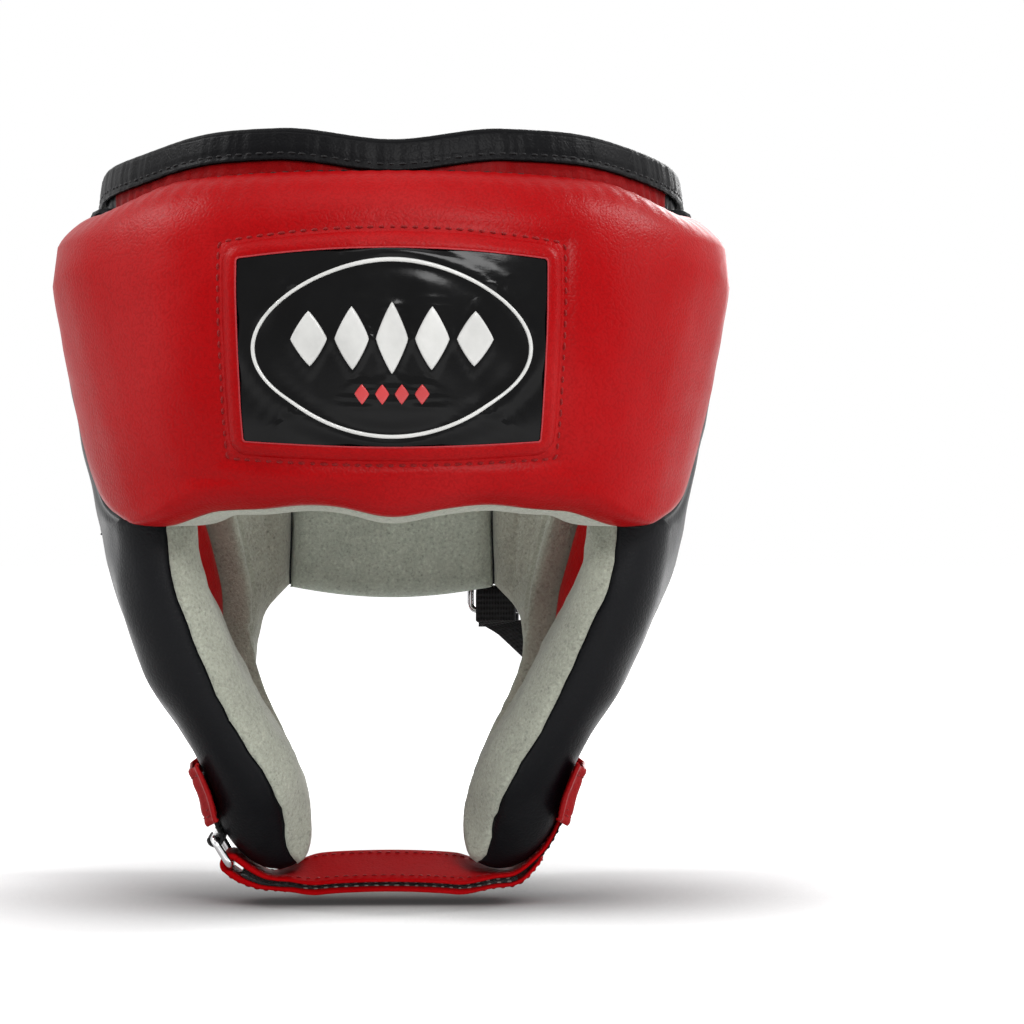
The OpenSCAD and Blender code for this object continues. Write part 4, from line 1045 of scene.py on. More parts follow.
def raised(name, outline, centre, height, material, slot):
    """A raised, pillowed print on the badge inside an outline."""
    rows = []
    centre = np.asarray(centre, float)
    for s, n in ((1.0, 0.0), (1.0, 0.55), (0.96, 0.85), (0.88, 0.97), (0.7, 1.0), (0.4, 1.02),
                 (0.05, 1.02)):
        p = centre + (outline - centre) * s
        rows.append(badge_point(*p.T, PRINT_N + n * height))
    skin(name, np.array(rows), material, close_cols=True, caps=True, flip=True)


def lozenge(half_x, half_z):
    """A diamond with rounded points."""
    t = np.arange(48) * 7.5
    r = 1 / (np.abs(cos(t)) ** 1.15 + np.abs(sin(t)) ** 1.15) ** (1 / 1.15)
    return np.stack([half_x * r * cos(t), half_z * r * sin(t)], -1)


for k, (x, half_x, half_z) in enumerate(MOTIFS):
    centre = [x, MOTIF_Z[half_x]]
    kind, height, paint, slot = ("small_", 0.7, RED_PRINT, "red_leather") if half_x < 3 \
        else ("", 1.0, PRINT, "badge_white")
    raised(f"badge_{kind}lozenge_{k + 1}", lozenge(half_x, half_z) + centre, centre, height, paint,
           slot)

# the leather's window: a padded rim that laps over the badge's edge, with a pale cut edge that is
# worn and also carries a painted highlight
lap = [(FRAME_OUT - 0.4, -1.2), (FRAME_OUT - 0.7, -0.5), (3.6, 0.45), (2.6, 1.35), (1.4, 1.95),
       (0.3, 2.2), (-0.5, 2.22), (-0.95, 2.05), (-1.05, 1.75), (-0.6, 1.3), (1.0, 0.6),
       (3.4, -0.9)]


def window(offset, n):
    """A loop round the badge, offset from its edge and n out from its seat."""
    p = rounded_box(BADGE_W / 2 + offset, BADGE_H / 2 + offset, max(1.6 + offset, 0.8), 8, 60)
    q = np.stack([p[:, 0], p[:, 1], 0 * p[:, 0]], -1)
    return badge_point(*p.T, n + (0.10 * lumps(q, 16, 92) + 0.07 * lumps(q, 5, 93)) * (n > 0))


rim = np.stack([window(offset, n) for offset, n in lap], 1)
skin("badge_window", rim, RED, close_rows=True, close_cols=True)
WORN_R = 0.24  # the pale edge, worn and painted with a highlight, is a thin roll round the window
edge = np.stack([window(WORN_R * cos(t) - 0.98, WORN_R * sin(t) + 2.02)
                 for t in np.arange(8) * 45.0], 1)
skin("badge_window_edge", edge, WORN_AND_SHEEN, close_rows=True, close_cols=True)

# stitches that hold the badge: a frame a little outside it
frame_line = rounded_box(BADGE_W / 2 + FRAME_OUT, BADGE_H / 2 + FRAME_OUT, 1.2, 3, 40)
frame_line = np.concatenate([frame_line, frame_line[:1]])
x, z = frame_line.T
sit = badge_point(x, z, -GAP + 0.05)
stitch("badge_frame", sit, badge_point(x, z, 1) - sit, closed=True)


# ---- collars and binding -----------------------------------------------------------------------
TOP_YZ = np.array(TOP_EDGE[::-1], float)
TOP_A = angle_of(*TOP_YZ.T)
SEAM_A, REAR_ANGLE = float(TOP_A[0]), float(TOP_A[3])


def rim_z(a):
    """The height of the pads' top edge, on which the collars stand."""
    s = np.abs(a)
    brow = lerp(BROW_TOP_Z, SEAM[0][1], (np.minimum(s, SEAM_A) / SEAM_A) ** 2.2)
    share = np.interp(s, TOP_A, [0, 1 / 3, 2 / 3, 1])
    return np.where(s <= SEAM_A, brow, along(TOP_YZ, share)[..., 1])


def collar_z(a):
    """The height of the collars' top edge."""
    s = np.abs(a)
    sag = 2.3 * bump(s - 50, 15) * np.where(np.asarray(a) < 0, 1, 0.4)
    fall = 10 * smooth(s, 30, 85)
    return COLLAR_TOP_Z + 4 * smooth(s, 0, 20) - fall - 19 * smooth(s, 100, 150) - sag


def flare(a):
    """How far the collar leans out at the temples."""
    return 2.6 * smooth(np.abs(a), 42, 70) * (1 - smooth(np.abs(a), 110, 145))


def collar_grid(angles, bulge):
    v = np.linspace(0, 1, 22)
    A, V = np.meshgrid(angles, v, indexing="ij")
    s = np.abs(A)
    low = rim_z(A) + GAP - 0.75 * shoulder(A / SEAM_A) - 3.6 * smooth(s, SEAM_A, SEAM_A + 8)
    top = collar_z(A) - BINDING_T - GAP
    # small upright gathers where the leather is sewn to the pad, more of them at the sides
    gather = np.sin(A * 1.9 + 1.5 * np.sin(A * 0.37)) * (0.25 + 0.75 * smooth(s, 18, 60))
    n = COLLAR_T / 2 + bulge * np.sin(np.pi * np.clip(V, 0, 1)) + 0.45 * gather * (1 - V) ** 1.3
    n = n + 0.18 * lumps(surf(A, low, 0), 12, 51) + flare(A) * V
    return surf(A, lerp(low, top, V), n)


SEAM_GAP = 0.15
g = collar_grid(np.linspace(-SEAM_A + SEAM_GAP, SEAM_A - SEAM_GAP, 260), 0.5)
replace(sheet("brow_collar", g, COLLAR_T, COLLAR_RED_SHADED, sign=1), "red_leather", "brow_collar")
for side in (1, -1):
    g = sided(collar_grid(np.linspace(SEAM_A + SEAM_GAP, REAR_ANGLE - SEAM_GAP, 160), 0.6), side)
    collar = sheet(hand(side) + "_collar", g, COLLAR_T, BLACK, sign=side)
    replace(collar, "black_leather", hand(side) + "_collar")

BIND_HALF = COLLAR_T / 2 + GAP + BINDING_T
ARM = np.linspace(-1, -0.16, 12)
fold_f = np.linspace(0, 180, 15)


def binding_rows():
    """The tape that wraps the collar's top: outer arm, fold, inner arm, and back inside it."""
    a = np.linspace(-REAR_ANGLE, REAR_ANGLE, 620)
    z0 = collar_z(a)
    rng = np.sin(a * 2.7 + 1.3 * np.sin(a * 0.9)) * 0.5 + 0.5 * np.sin(a * 1.31 + 2)
    rows = []
    for k, angle in enumerate(a):
        pull = 0.16 * rng[k]
        out = [(BIND_HALF + pull + 0.18 * np.sin(3 * (q + 1)) - 0.35 * bump(q + 0.80, 0.09), q)
               for q in ARM]
        top = [(BIND_HALF * cos(f) + pull * 0.4, -0.16 + 0.16 * sin(f)) for f in fold_f]
        back = [(-BIND_HALF + 0.25 * bump(q + 0.80, 0.09), q) for q in ARM[::-1]]
        wall = BINDING_T * 0.85
        inner = [(-BIND_HALF + wall, -1), (-BIND_HALF + wall, -0.2), (BIND_HALF - wall, -0.2),
                 (BIND_HALF - wall, -1)]
        ring = np.array(out + top + back + inner)
        rows.append(surf(angle, z0[k] + ring[:, 1] * BINDING_H, ring[:, 0] + flare(angle)))
    return np.array(rows)


binding = skin("top_binding", binding_rows(), BINDING_SHADED, close_cols=True, caps=True)
replace(binding, "black_leather", "top_binding")
a = np.linspace(-REAR_ANGLE + 0.6, REAR_ANGLE - 0.6, 700)
for sign in (1, -1):
    z = collar_z(a) - 0.80 * BINDING_H
    line = surf(a, z, sign * (BIND_HALF - 0.28) + flare(a))
    stitch("binding", line, sign * normal(a, z))
# the seam between collar and pad, sewn through both
z = rim_z(a) + 1.6 - 0.6 * shoulder(a / SEAM_A)
stitch("collar", surf(a, z, COLLAR_T / 2 + 0.25), normal(a, z))


# ---- back of the head --------------------------------------------------------------------------
REAR_TOP, REAR_LOW, REAR_MARGIN = 91.0, -20.0, 0.55


def seam_y(z):
    """Where the rear pad's side seam lies: it bends forward at its lower end."""
    return np.interp(z, [-20, -15, 5, 20, 60], [55.3, 55.5, 56.4, 56.7, 57.0])


def rear_face(sign):
    """The rear pad's outer (1) or inner (-1) face."""
    r = np.r_[0, 0.002, 0.008, 0.018, 0.03, 0.05, 0.075, 0.1, np.linspace(0.12, 0.88, 36), 0.9,
              0.925, 0.95, 0.97, 0.982, 0.992, 0.998, 1]
    share = np.sqrt(np.clip(1 - (1 - np.clip(np.minimum(r, 1 - r) / 0.1, 0, 1)) ** 2, 0, 1))
    w = np.r_[-1, -0.99, -0.96, -0.92, -0.87, np.linspace(-0.82, 0.82, 41), 0.87, 0.92, 0.96,
              0.99, 1]
    R, W = np.meshgrid(r, w, indexing="ij")
    u = W * (1 - GAP / 76)
    z = lerp(REAR_LOW + GAP / 2 + 4 * u * u, REAR_TOP - GAP / 2, R)
    a = 180 + u * (180 - angle_of(seam_y(z), z) - REAR_MARGIN)
    side = arch(np.maximum(np.abs(W) - 0.82, 0) / 0.18)
    rise = REAR_T / 2 * share[:, None] * side
    p = surf(a, z, 0)
    rise = rise + side * share[:, None] * (0.3 * lumps(p, 34, 61 + sign) + 0.12 * lumps(p, 12, 63))
    # never prouder than the CAD's pad: the elastic and the straps lie on it
    rise = np.minimum(rise, REAR_T / 2 + (0.05 if sign > 0 else 0.4))
    return surf(a, z, sign * np.maximum(rise, LEAST))


cover = sheet("rear_pad_cover", rear_face(1), COVER_T, BLACK, sign=-1)
replace(cover, "black_leather", "rear_pad_cover", "rear_pad_foam", fill=0.8)
lining = sheet("rear_pad_lining", rear_face(-1), LINING_T, REAR_SUEDE_PAINTED_LIGHT, sign=1)
replace(lining, "suede", "rear_pad_lining", fill=0.8)


# ---- strips and their places -------------------------------------------------------------------
def flat_band(name, place, us, half, n0, n1, material, body="shell", relief=None, columns=14,
              tips=(True, True), flip=False, uv_turn=False):
    """A strip of leather or webbing. place(u, v, n) gives points: v across, n off the seat."""
    us = np.asarray(us, float)
    t = (n1 - n0) / 2
    f = np.linspace(90, -90, 7)
    run = np.linspace(1, -1, columns)[1:-1]
    h = (half(us) if callable(half) else np.full(len(us), float(half)))[:, None]
    e = np.minimum(t, 0.6 * h)
    v = np.concatenate([h - e + e * cos(f), (h - e) * run,
                        -(h - e) - e * cos(f[::-1]), -(h - e) * run], 1)
    k = np.r_[sin(f), -np.ones(len(run)), sin(f[::-1]), np.ones(len(run))]
    centre = place(us, 0 * us, 0 * us + (n0 + n1) / 2)
    s = np.r_[0, np.cumsum(np.linalg.norm(np.diff(centre, axis=0), axis=1))]
    shut = np.ones(len(us))
    if tips[0]:
        shut = np.minimum(shut, arch(1 - np.clip(s, 0.05, 1)))
    if tips[1]:
        shut = np.minimum(shut, arch(1 - np.clip(s[-1] - s, 0.05, 1)))
    U = np.broadcast_to(us[:, None], v.shape)
    n = (n0 + n1) / 2 + t * k[None] * shut[:, None]
    if relief is not None:
        n = n + relief(U, v) * (k[None] > -0.5) * np.clip(0.5 + 0.5 * k[None], 0, 1)
    g = place(U, v, n)
    uv = np.stack([np.broadcast_to(s[:, None], v.shape), v], -1)
    return skin(name, g, material, close_cols=True, caps=True, body=body, flip=flip,
                uv=uv[..., ::-1] if uv_turn else uv)


def strip(name, slot, *shape, **look):
    """A strip in the place of the solid that has its name."""
    replace(flat_band(name, *shape, **look), slot, name)


def sew_edges(group, place, u0, u1, half, n, inset, body="shell", count=240):
    """Stitches along each edge of a strip."""
    u = np.linspace(u0, u1, count)
    for sign in (1, -1):
        v = sign * ((half(u) if callable(half) else half) - inset)
        p = place(u, v, n)
        stitch(group, p, unit(place(u, v, n + 1.0) - p), body)


ELASTIC_SEAT, ELASTIC_T = REAR_T / 2 + GAP, 1.6
ELASTIC_FROM, ELASTIC_LOW, ELASTIC_TOP = 143.0, 38.0, 98.0
elastic_mid, elastic_half = (ELASTIC_LOW + ELASTIC_TOP) / 2, (ELASTIC_TOP - ELASTIC_LOW) / 2


def round_back(z):
    """Places on the back of the head: u is an angle, v a height from z."""
    return lambda u, v, n: surf(u, z + v, n)


back = round_back(elastic_mid)
strip("rear_elastic", "black_mesh", back, np.linspace(ELASTIC_FROM, 360 - ELASTIC_FROM, 120),
      elastic_half, ELASTIC_SEAT, ELASTIC_SEAT + ELASTIC_T, ELASTIC, columns=40,
      relief=lambda u, v: -0.12 * (0.5 + 0.5 * np.sin(v * 2 * math.pi / 3.2)))
on_elastic = ELASTIC_SEAT + ELASTIC_T - 0.1
for inset in (2.0, 4.2):
    sew_edges("elastic", back, ELASTIC_FROM + 0.5, 359.5 - ELASTIC_FROM, elastic_half, on_elastic,
              inset)
for u in (ELASTIC_FROM + 1.6, 360 - ELASTIC_FROM - 1.6, ELASTIC_FROM + 3.2, 356.8 - ELASTIC_FROM):
    v = np.linspace(-elastic_half + 3, elastic_half - 3, 60)
    stitch("elastic", back(u, v, on_elastic), normal(u, elastic_mid + v))


# a tape joins the rear pad to each side shell, behind their seam
for side in (1, -1):
    tape_z = np.linspace(REAR_LOW + 5, REAR_TOP - 4, 60)
    seam = lambda u, v, n: sided(surf(angle_of(seam_y(u), u) + v / 1.05, u, n), side)
    flat_band(hand(side) + "_rear_seam_tape", seam, tape_z, 2.6, -0.12, 0.12, BLACK,
                      columns=6, flip=side < 0)


# ---- cheek patches -----------------------------------------------------------------------------
CHIN_HALF = CHIN_STRAP_W / 2
PATCH_T, PATCH_LOW, PATCH_HIGH, PATCH_BULGE = 1.6, -86.0, -67.0, CHIN_HALF + 2.5
PATCH_WIDE, PATCH_TALL = 51.0, PATCH_HIGH - PATCH_LOW
PATCH_SEAM = 2.6  # from a patch's edge to its stitches


def cheek_point(y, z, rise):
    a = angle_of(y, z)
    return surf(a, z, side_half(a, z) - slim(z) + rise)


def patch_place(s, v, n):
    """s runs from the front edge (0) to the rear edge (1), v up the patch (0 to 1)."""
    front, rear = lerp(25.5, 31, v), lerp(17.5, 23, v)
    d = lerp(-front, rear, s)
    over = smooth(np.abs(d), PATCH_BULGE + 4, PATCH_BULGE)
    e = s * 2 - 1
    z = lerp(PATCH_LOW, PATCH_HIGH, v) + 1.5 * e * e
    return cheek_point(d - CHIN_STRAP_Y, z, GAP + over * (STRAP_T + 2 * GAP) + n)


for side in (1, -1):
    s = np.r_[0, 0.004, 0.012, 0.025, np.linspace(0.04, 0.96, 60), 0.975, 0.988, 0.996, 1]
    v = np.r_[0, 0.01, 0.03, 0.06, np.linspace(0.1, 0.9, 18), 0.94, 0.97, 0.99, 1]
    S, V = np.meshgrid(s, v, indexing="ij")
    rim = np.minimum(np.minimum(S, 1 - S) * PATCH_WIDE, np.minimum(V, 1 - V) * PATCH_TALL)
    n = PATCH_T - 0.5 * (1 - arch(1 - np.clip(rim / 0.8, 0, 1)))
    n = n - 0.35 * bump(rim - PATCH_SEAM, 0.8)
    n = n + 0.18 * smooth(rim, 0.5, 1.5) * (1 - smooth(rim, 2, 3))
    g0 = patch_place(S, V, 0)
    n = n + 0.22 * lumps(sided(g0, side), 9, 71 + side) * smooth(rim, 1, 5)
    g = sided(patch_place(S, V, n), side)
    patch = sheet(hand(side) + "_cheek_patch", g, 1.4, RED_SOFT, sign=side, bevel=0.4)
    replace(patch, "red_leather", hand(side) + "_cheek_patch")
    du, dv = PATCH_SEAM / PATCH_WIDE, PATCH_SEAM / PATCH_TALL
    corner = [(du, dv), (1 - du, dv), (1 - du, 1 - dv), (du, 1 - dv), (du, dv)]
    inner_row = [(du * 1.2, dv * 1.75), (1 - du * 1.2, dv * 1.75)]
    for row in (corner, inner_row):
        runs = [np.linspace(a, b, 50)[:-1] for a, b in zip(row, row[1:])]
        sv = np.concatenate(runs + [[row[-1]]])
        sew_row("cheek_patches", lambda s, v, n: sided(patch_place(s, v, n), side), *sv.T,
                PATCH_T - 0.4, PATCH_T + 0.6)


# ---- chin strap --------------------------------------------------------------------------------
LAYER = 0.1  # between a strap and the strip sewn to it
LOOP_FROM = STRAP_T + LAYER
HOOK_FROM = LOOP_FROM + FUZZ_T + GAP + LAYER
TAIL_FROM = HOOK_FROM + FUZZ_T + LAYER
TAIL_TO = TAIL_FROM + STRAP_T
WIRE_AT = (STRAP_T + TAIL_FROM) / 2
CHIN_SEAT, RING_TOP_Z, RING_LOOP_T = GAP, PATCH_LOW - 3.2, 1.4
UNDER_X, UNDER_Z = CHIN_HALF_W + 12.5, CHIN_Z - 3.6
MIRROR = np.array([-1.0, 1.0])


def flat_point(rise, z):
    """A point on the cheek in the chin strap's upright plane, as (x, z)."""
    return cheek_point(-CHIN_STRAP_Y, z, rise)[..., [0, 2]]


def at_chin(p):
    """The point (x, z) of that plane in space."""
    return np.array([p[0], -CHIN_STRAP_Y, p[1]])


ring_seat = flat_point(CHIN_SEAT, RING_TOP_Z)
ring_out = flat_point(CHIN_SEAT + 1, RING_TOP_Z) - ring_seat
top_bar = ring_seat + ring_out * (RING_LOOP_T + GAP + WIRE_D / 2)
low_bar = top_bar + np.array([-0.53, -0.85]) * CHIN_RING_H
bar_out = np.array([0.72, -0.694])
chin_end = low_bar - bar_out * WIRE_AT
CHIN_LINE = np.array(
    [flat_point(CHIN_SEAT, z) for z in (-70, -75, -80, -85, -90, -94)]
    + [(UNDER_X, UNDER_Z), (UNDER_X - 8, UNDER_Z - 0.4), (19, UNDER_Z + 1), (0, UNDER_Z + 1.6),
       (-19, UNDER_Z + 1.1), (11.5 - UNDER_X, UNDER_Z - 0.3), (2.5 - UNDER_X, UNDER_Z - 1.1),
       MIRROR * chin_end])
CHIN_STEPS, CHIN_STRIPS, CHIN_TIP = 26, (12, 22), 10
PRESSED, CHIN_STEP = 0.62, 0.004
fold_at, fold_out = MIRROR * low_bar, MIRROR * bar_out


def chin_place(u, v, n):
    """u along the strap from the left cheek, v to the rear, n outward."""
    u, v, n = floats(u, v, n)
    # the layers are pressed together, except where the ring holds them apart
    n = n * lerp(PRESSED, 1, smooth(u, 0.90, 0.985))
    ahead, behind = np.minimum(u + CHIN_STEP, 1), np.maximum(u - CHIN_STEP, 0)
    d = unit(along(CHIN_LINE, ahead) - along(CHIN_LINE, behind))
    t = np.stack([-d[..., 1], d[..., 0]], -1)
    last = smooth(u, 0.962, 0.985)[..., None]
    t = unit(t * (1 - last) + last * MIRROR * bar_out)
    p = along(CHIN_LINE, u) + n[..., None] * t
    lean = 0.3 * smooth(np.abs(p[..., 0]), UNDER_X - 2, UNDER_X - 20)
    return np.stack([p[..., 0], -CHIN_STRAP_Y + v, p[..., 1] + lean * v], -1)


def chin_fold(f, v, n):
    """The strap's fold round the ring's lower bar: f from 0 at the seat to 180 at the tail."""
    f, v, n = floats(f, v, n)
    up = np.array([fold_out[1], -fold_out[0]])
    r = (WIRE_AT - n)[..., None]
    p = fold_at + r * (-cos(f)[..., None] * fold_out + sin(f)[..., None] * up)
    return np.stack([p[..., 0], -CHIN_STRAP_Y + v, p[..., 1]], -1)


def strap_relief(size, depth, seed, scale):
    """Soft creases across a strap, deeper between its stitch rows."""
    def relief(u, v):
        q = np.stack([u * scale[0], v * scale[1], 0 * u], -1)
        return depth * lumps(q, size, seed) - 0.15 * bump(np.abs(v) - 9.8, 0.9)
    return relief


strip("chin_strap", "red_leather", chin_place, np.linspace(0, 1, 150), CHIN_HALF, 0, STRAP_T,
      RED_MATT, tips=(True, False), columns=20, relief=strap_relief(14, 0.05, 81, (230, 1)))
fold = flat_band("chin_strap_fold", chin_fold, np.linspace(0, 180, 25), CHIN_HALF, 0, STRAP_T,
                 RED_MATT, tips=(False, False), columns=20, body=None)
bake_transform(fold)

TIP_U, ROUND_U = CHIN_TIP / CHIN_STEPS, (CHIN_STRIPS[0] - CHIN_TIP) / CHIN_STEPS


def tail_half(u):
    return CHIN_HALF * arch(1 - np.clip((u - TIP_U) / ROUND_U, 0.02, 1))


def tail_place(u, v, n):
    """The tail over the hook strip, its tip bending down onto the strap."""
    return chin_place(u, v, n - 2.0 * (1 - smooth(u, TIP_U + 0.01, 0.475)))


us = np.concatenate([TIP_U + ROUND_U * np.linspace(0, 1, 40) ** 2,
                     np.linspace(TIP_U + ROUND_U, 1, 90)[1:]])
strip("chin_strap_tail", "red_leather", tail_place, us, tail_half, TAIL_FROM, TAIL_TO, RED_MATT,
      body="chin_tail", tips=(True, False), columns=20,
      relief=strap_relief(16, 0.22, 82, (230, 1)))
strip_half = CHIN_HALF - 2
u0, u1 = (k / CHIN_STEPS for k in CHIN_STRIPS)
us = np.linspace(u0, 0.968, 80)
strip("chin_loop_strip", "loop_pile", chin_place, us, strip_half, LOOP_FROM, LOOP_FROM + FUZZ_T,
      LOOP)
strip("chin_hook_strip", "hook_tape", chin_place, us, strip_half, HOOK_FROM, HOOK_FROM + FUZZ_T,
      HOOK, body="chin_tail")
# black facing where the strap shows between the left cheek patch and the tail
flat_band("chin_strap_facing", chin_place, np.linspace(0.02, u0 - 0.002, 70),
                  CHIN_HALF - 0.2, STRAP_T + 0.02, STRAP_T + 0.42, BLACK, columns=20)
for v0 in (-10.6, -8.8, 8.8, 10.6):
    sew_row("chin_facing", chin_place, np.linspace(0.02, TIP_U + 0.03, 120), v0, STRAP_T + 0.4,
            STRAP_T + 1.4)
# two rows on the strap's inner face, and one along each edge of the tail's outer face
for v0 in (-9.6, 9.6):
    sew_row("chin_strap", chin_place, np.linspace(0.30, 0.965, 260), v0, 0.1, -1.0)
sew_edges("chin_tail", tail_place, TIP_U + 0.006, 0.985, tail_half, TAIL_TO - 0.05, 2.2,
          "chin_tail")
for n0, group, body in ((LOOP_FROM + 0.55, "chin_loop", "shell"),
                        (HOOK_FROM + 0.75, "chin_hook", "chin_tail")):
    p = chin_place(np.linspace(u0 + 0.01, u1 - 0.01, 200), -strip_half + 0.15, n0)
    stitch(group, p, np.broadcast_to([0.0, -1.0, 0.0], p.shape), body)


def track(points, normals, across):
    """A place function over rows of points: u is the row number, v across, n along the normal."""
    points, normals, across = (np.asarray(q, float) for q in (points, normals, across))
    rows = np.arange(len(points))

    def place(u, v, n):
        u, v, n = floats(u, v, n)
        return (between(u, rows, points) + v[..., None] * between(u, rows, across)
                + n[..., None] * between(u, rows, normals))
    return place


# webbing from under the right cheek patch, turned round the ring's top bar
c, o = MIRROR * top_bar, MIRROR * ring_out
up = np.array([o[1], -o[0]])
r_in = WIRE_D / 2 + GAP
pts, nrm = [], []
for z in np.linspace(-70, -88, 20):
    p = MIRROR * flat_point(CHIN_SEAT, z)
    way = MIRROR * flat_point(CHIN_SEAT + 1, z) - p
    pts.append(at_chin(p))
    nrm.append(unit(np.array([way[0], 0, way[1]])))
for f in np.linspace(0, 216, 28):
    d = -cos(f) * o - sin(f) * up
    d = d / np.linalg.norm(d)
    pts.append(at_chin(c + (r_in + RING_LOOP_T) * d))
    nrm.append(np.array([-d[0], 0, -d[1]]))
loop_place = track(pts, nrm, np.tile([0.0, 1.0, 0.0], (len(pts), 1)))
strip("chin_ring_loop", "black_mesh", loop_place, np.linspace(0, len(pts) - 1, 120),
      CHIN_HALF - 1, 0, RING_LOOP_T, WEBBING, columns=24, uv_turn=True)
for v0 in (-9.2, -7.4, 7.4, 9.2):
    sew_row("ring_loop", loop_place, np.linspace(6, 19, 60), v0, RING_LOOP_T - 0.1, RING_LOOP_T + 1)


# ---- rear straps -------------------------------------------------------------------------------
UPPER_SEAT, LOWER_SEAT, FOLD_A = ELASTIC_SEAT + ELASTIC_T, REAR_T / 2 + 3 * GAP, 141.0
UPPER_HALF, LOWER_HALF = UPPER_W / 2, LOWER_W / 2
UPPER_TIP, UPPER_ROOT, LOWER_TIP = 138.0, FOLD_A + 72.3, 198.0
UPPER_LOOP = UPPER_SEAT + LAYER
UPPER_HOOK = UPPER_LOOP + FUZZ_T + GAP + LAYER
UPPER_FROM = UPPER_HOOK + FUZZ_T + LAYER
upper = round_back(UPPER_Z)


TIP_TURN = 19  # how many degrees the round end of a rear strap takes


def round_tip(tip, half, sign):
    """A rear strap's half width near its round tip, at an angle."""
    return lambda u: half * arch(1 - np.clip(sign * (u - tip) / TIP_TURN, 0.02, 1))


def tip_run(tip, sign):
    """Angles from a round tip on, closer together at the tip."""
    return tip + sign * TIP_TURN * np.linspace(0, 1, 46) ** 2


# the root: it is sewn down behind the hinge and free in front of it
BEND, ROOT_TURN = 5.0, 7.2
upper_half = round_tip(UPPER_TIP, UPPER_HALF, 1)
us = np.r_[tip_run(UPPER_TIP, 1), np.linspace(UPPER_TIP + TIP_TURN, UPPER_ROOT - BEND, 80)[1:]]
strip("upper_strap", "red_leather", upper, us, upper_half, UPPER_FROM, UPPER_FROM + STRAP_T,
      RED_SOFT, body="upper_strap", tips=(True, False), columns=30,
      relief=strap_relief(20, 0.18, 91, (1.1, 1)))


def root_place(u, v, n):
    """Past the hinge the strap steps down to the elastic."""
    drop = (UPPER_FROM - UPPER_SEAT - GAP) * smooth((u - UPPER_ROOT) / 1.2, 1, 5)
    return upper(u, v, n - drop)


us = np.linspace(UPPER_ROOT - BEND, UPPER_ROOT + ROOT_TURN, 60)
root = flat_band("upper_strap_root", root_place, us, UPPER_HALF, UPPER_FROM, UPPER_FROM + STRAP_T,
                 RED_SOFT, body=None, tips=(False, True), columns=30)
a, b = (upper(UPPER_ROOT + k, 0.0, UPPER_FROM + STRAP_T / 2) / 1e3 for k in (1.0, -BEND))
tuple(a)
tuple(b)
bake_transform(root)
replace(root, "red_leather", "upper_strap_anchor")
for k in (5.2, 6.4):
    v = np.linspace(-UPPER_HALF + 2, UPPER_HALF - 2, 60)
    p = root_place(UPPER_ROOT + k, v, UPPER_FROM + STRAP_T - 0.05)
    stitch("upper_root", p, normal(UPPER_ROOT + k, UPPER_Z + v))
sew_edges("upper_strap", upper, UPPER_TIP + 0.5, UPPER_ROOT - BEND - 0.3, upper_half,
          UPPER_FROM + STRAP_T - 0.08, 2.6, "upper_strap", count=420)


def at_step(k):
    """The straps' strips end on steps of 3 degrees from the fold, as in part.scad."""
    return FOLD_A + 3 * k


strip("upper_loop_patch", "loop_pile", upper, np.linspace(at_step(1), at_step(9), 60),
      UPPER_HALF - 3, UPPER_LOOP, UPPER_LOOP + FUZZ_T, LOOP, columns=24)
strip("upper_hook_strip", "hook_tape", upper, np.linspace(at_step(3), at_step(10), 60),
      UPPER_HALF - 6, UPPER_HOOK, UPPER_HOOK + FUZZ_T, HOOK, body="upper_strap", columns=24)

# the lower strap, its fold round the ring's front upright and its tail
LOWER_ROOT = FOLD_A + 78
BAR_N = LOWER_SEAT + WIRE_AT
bar_dir = normal(FOLD_A, LOWER_Z)
bar_side = np.cross([0, 0, 1], bar_dir)


def lower_fold(f, v, n):
    """The lower strap's fold: f from 0 at the seat to 180 at the tail."""
    f, v, n = floats(f, v, n)
    r = (WIRE_AT - n)[..., None]
    way = cos(f)[..., None] * bar_dir + sin(f)[..., None] * bar_side
    return surf(FOLD_A, LOWER_Z + v, BAR_N) - r * way


def lower_seat(u, v, n):
    return surf(u, LOWER_Z + v, LOWER_SEAT + n)


RING_RISE = 0.9


def tail_lift(a):
    """The tail rises over the ring and comes down again."""
    past = a - FOLD_A
    return 2 * RING_RISE * smooth(past, 1, 8) * (1 - smooth(past, 17, 23))


def lower_tail(u, v, n):
    return surf(u, LOWER_Z + v, LOWER_SEAT + n + tail_lift(u))


strip("lower_strap", "red_leather", lower_seat, np.linspace(FOLD_A, LOWER_ROOT, 110), LOWER_HALF,
      0, STRAP_T, RED_SOFT, tips=(False, True), columns=30)
fold = flat_band("lower_strap_fold", lower_fold, np.linspace(0, 180, 27), LOWER_HALF, 0, STRAP_T,
                 RED_SOFT, body=None, tips=(False, False), columns=30)
mid_bar = surf(FOLD_A, LOWER_Z, BAR_N)
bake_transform(fold)
lower_half = round_tip(LOWER_TIP, LOWER_HALF, -1)
us = np.r_[np.linspace(FOLD_A, LOWER_TIP - TIP_TURN, 110)[:-1], tip_run(LOWER_TIP, -1)[::-1]]
strip("lower_strap_tail", "red_leather", lower_tail, us, lower_half, TAIL_FROM, TAIL_TO, RED_SOFT,
      body="lower_tail", tips=(False, True), columns=30,
      relief=strap_relief(20, 0.2, 92, (1.1, 1)))
for inset in (2.2, 4.4):
    sew_edges("lower_tail", lower_tail, FOLD_A + 0.5, LOWER_TIP - 0.6, lower_half, TAIL_TO - 0.08,
              inset, "lower_tail", count=460)
strip("lower_loop_strip", "loop_pile", lower_seat, np.linspace(at_step(8), at_step(17), 60),
      LOWER_HALF - 3, LOOP_FROM, LOOP_FROM + FUZZ_T, LOOP, columns=24)
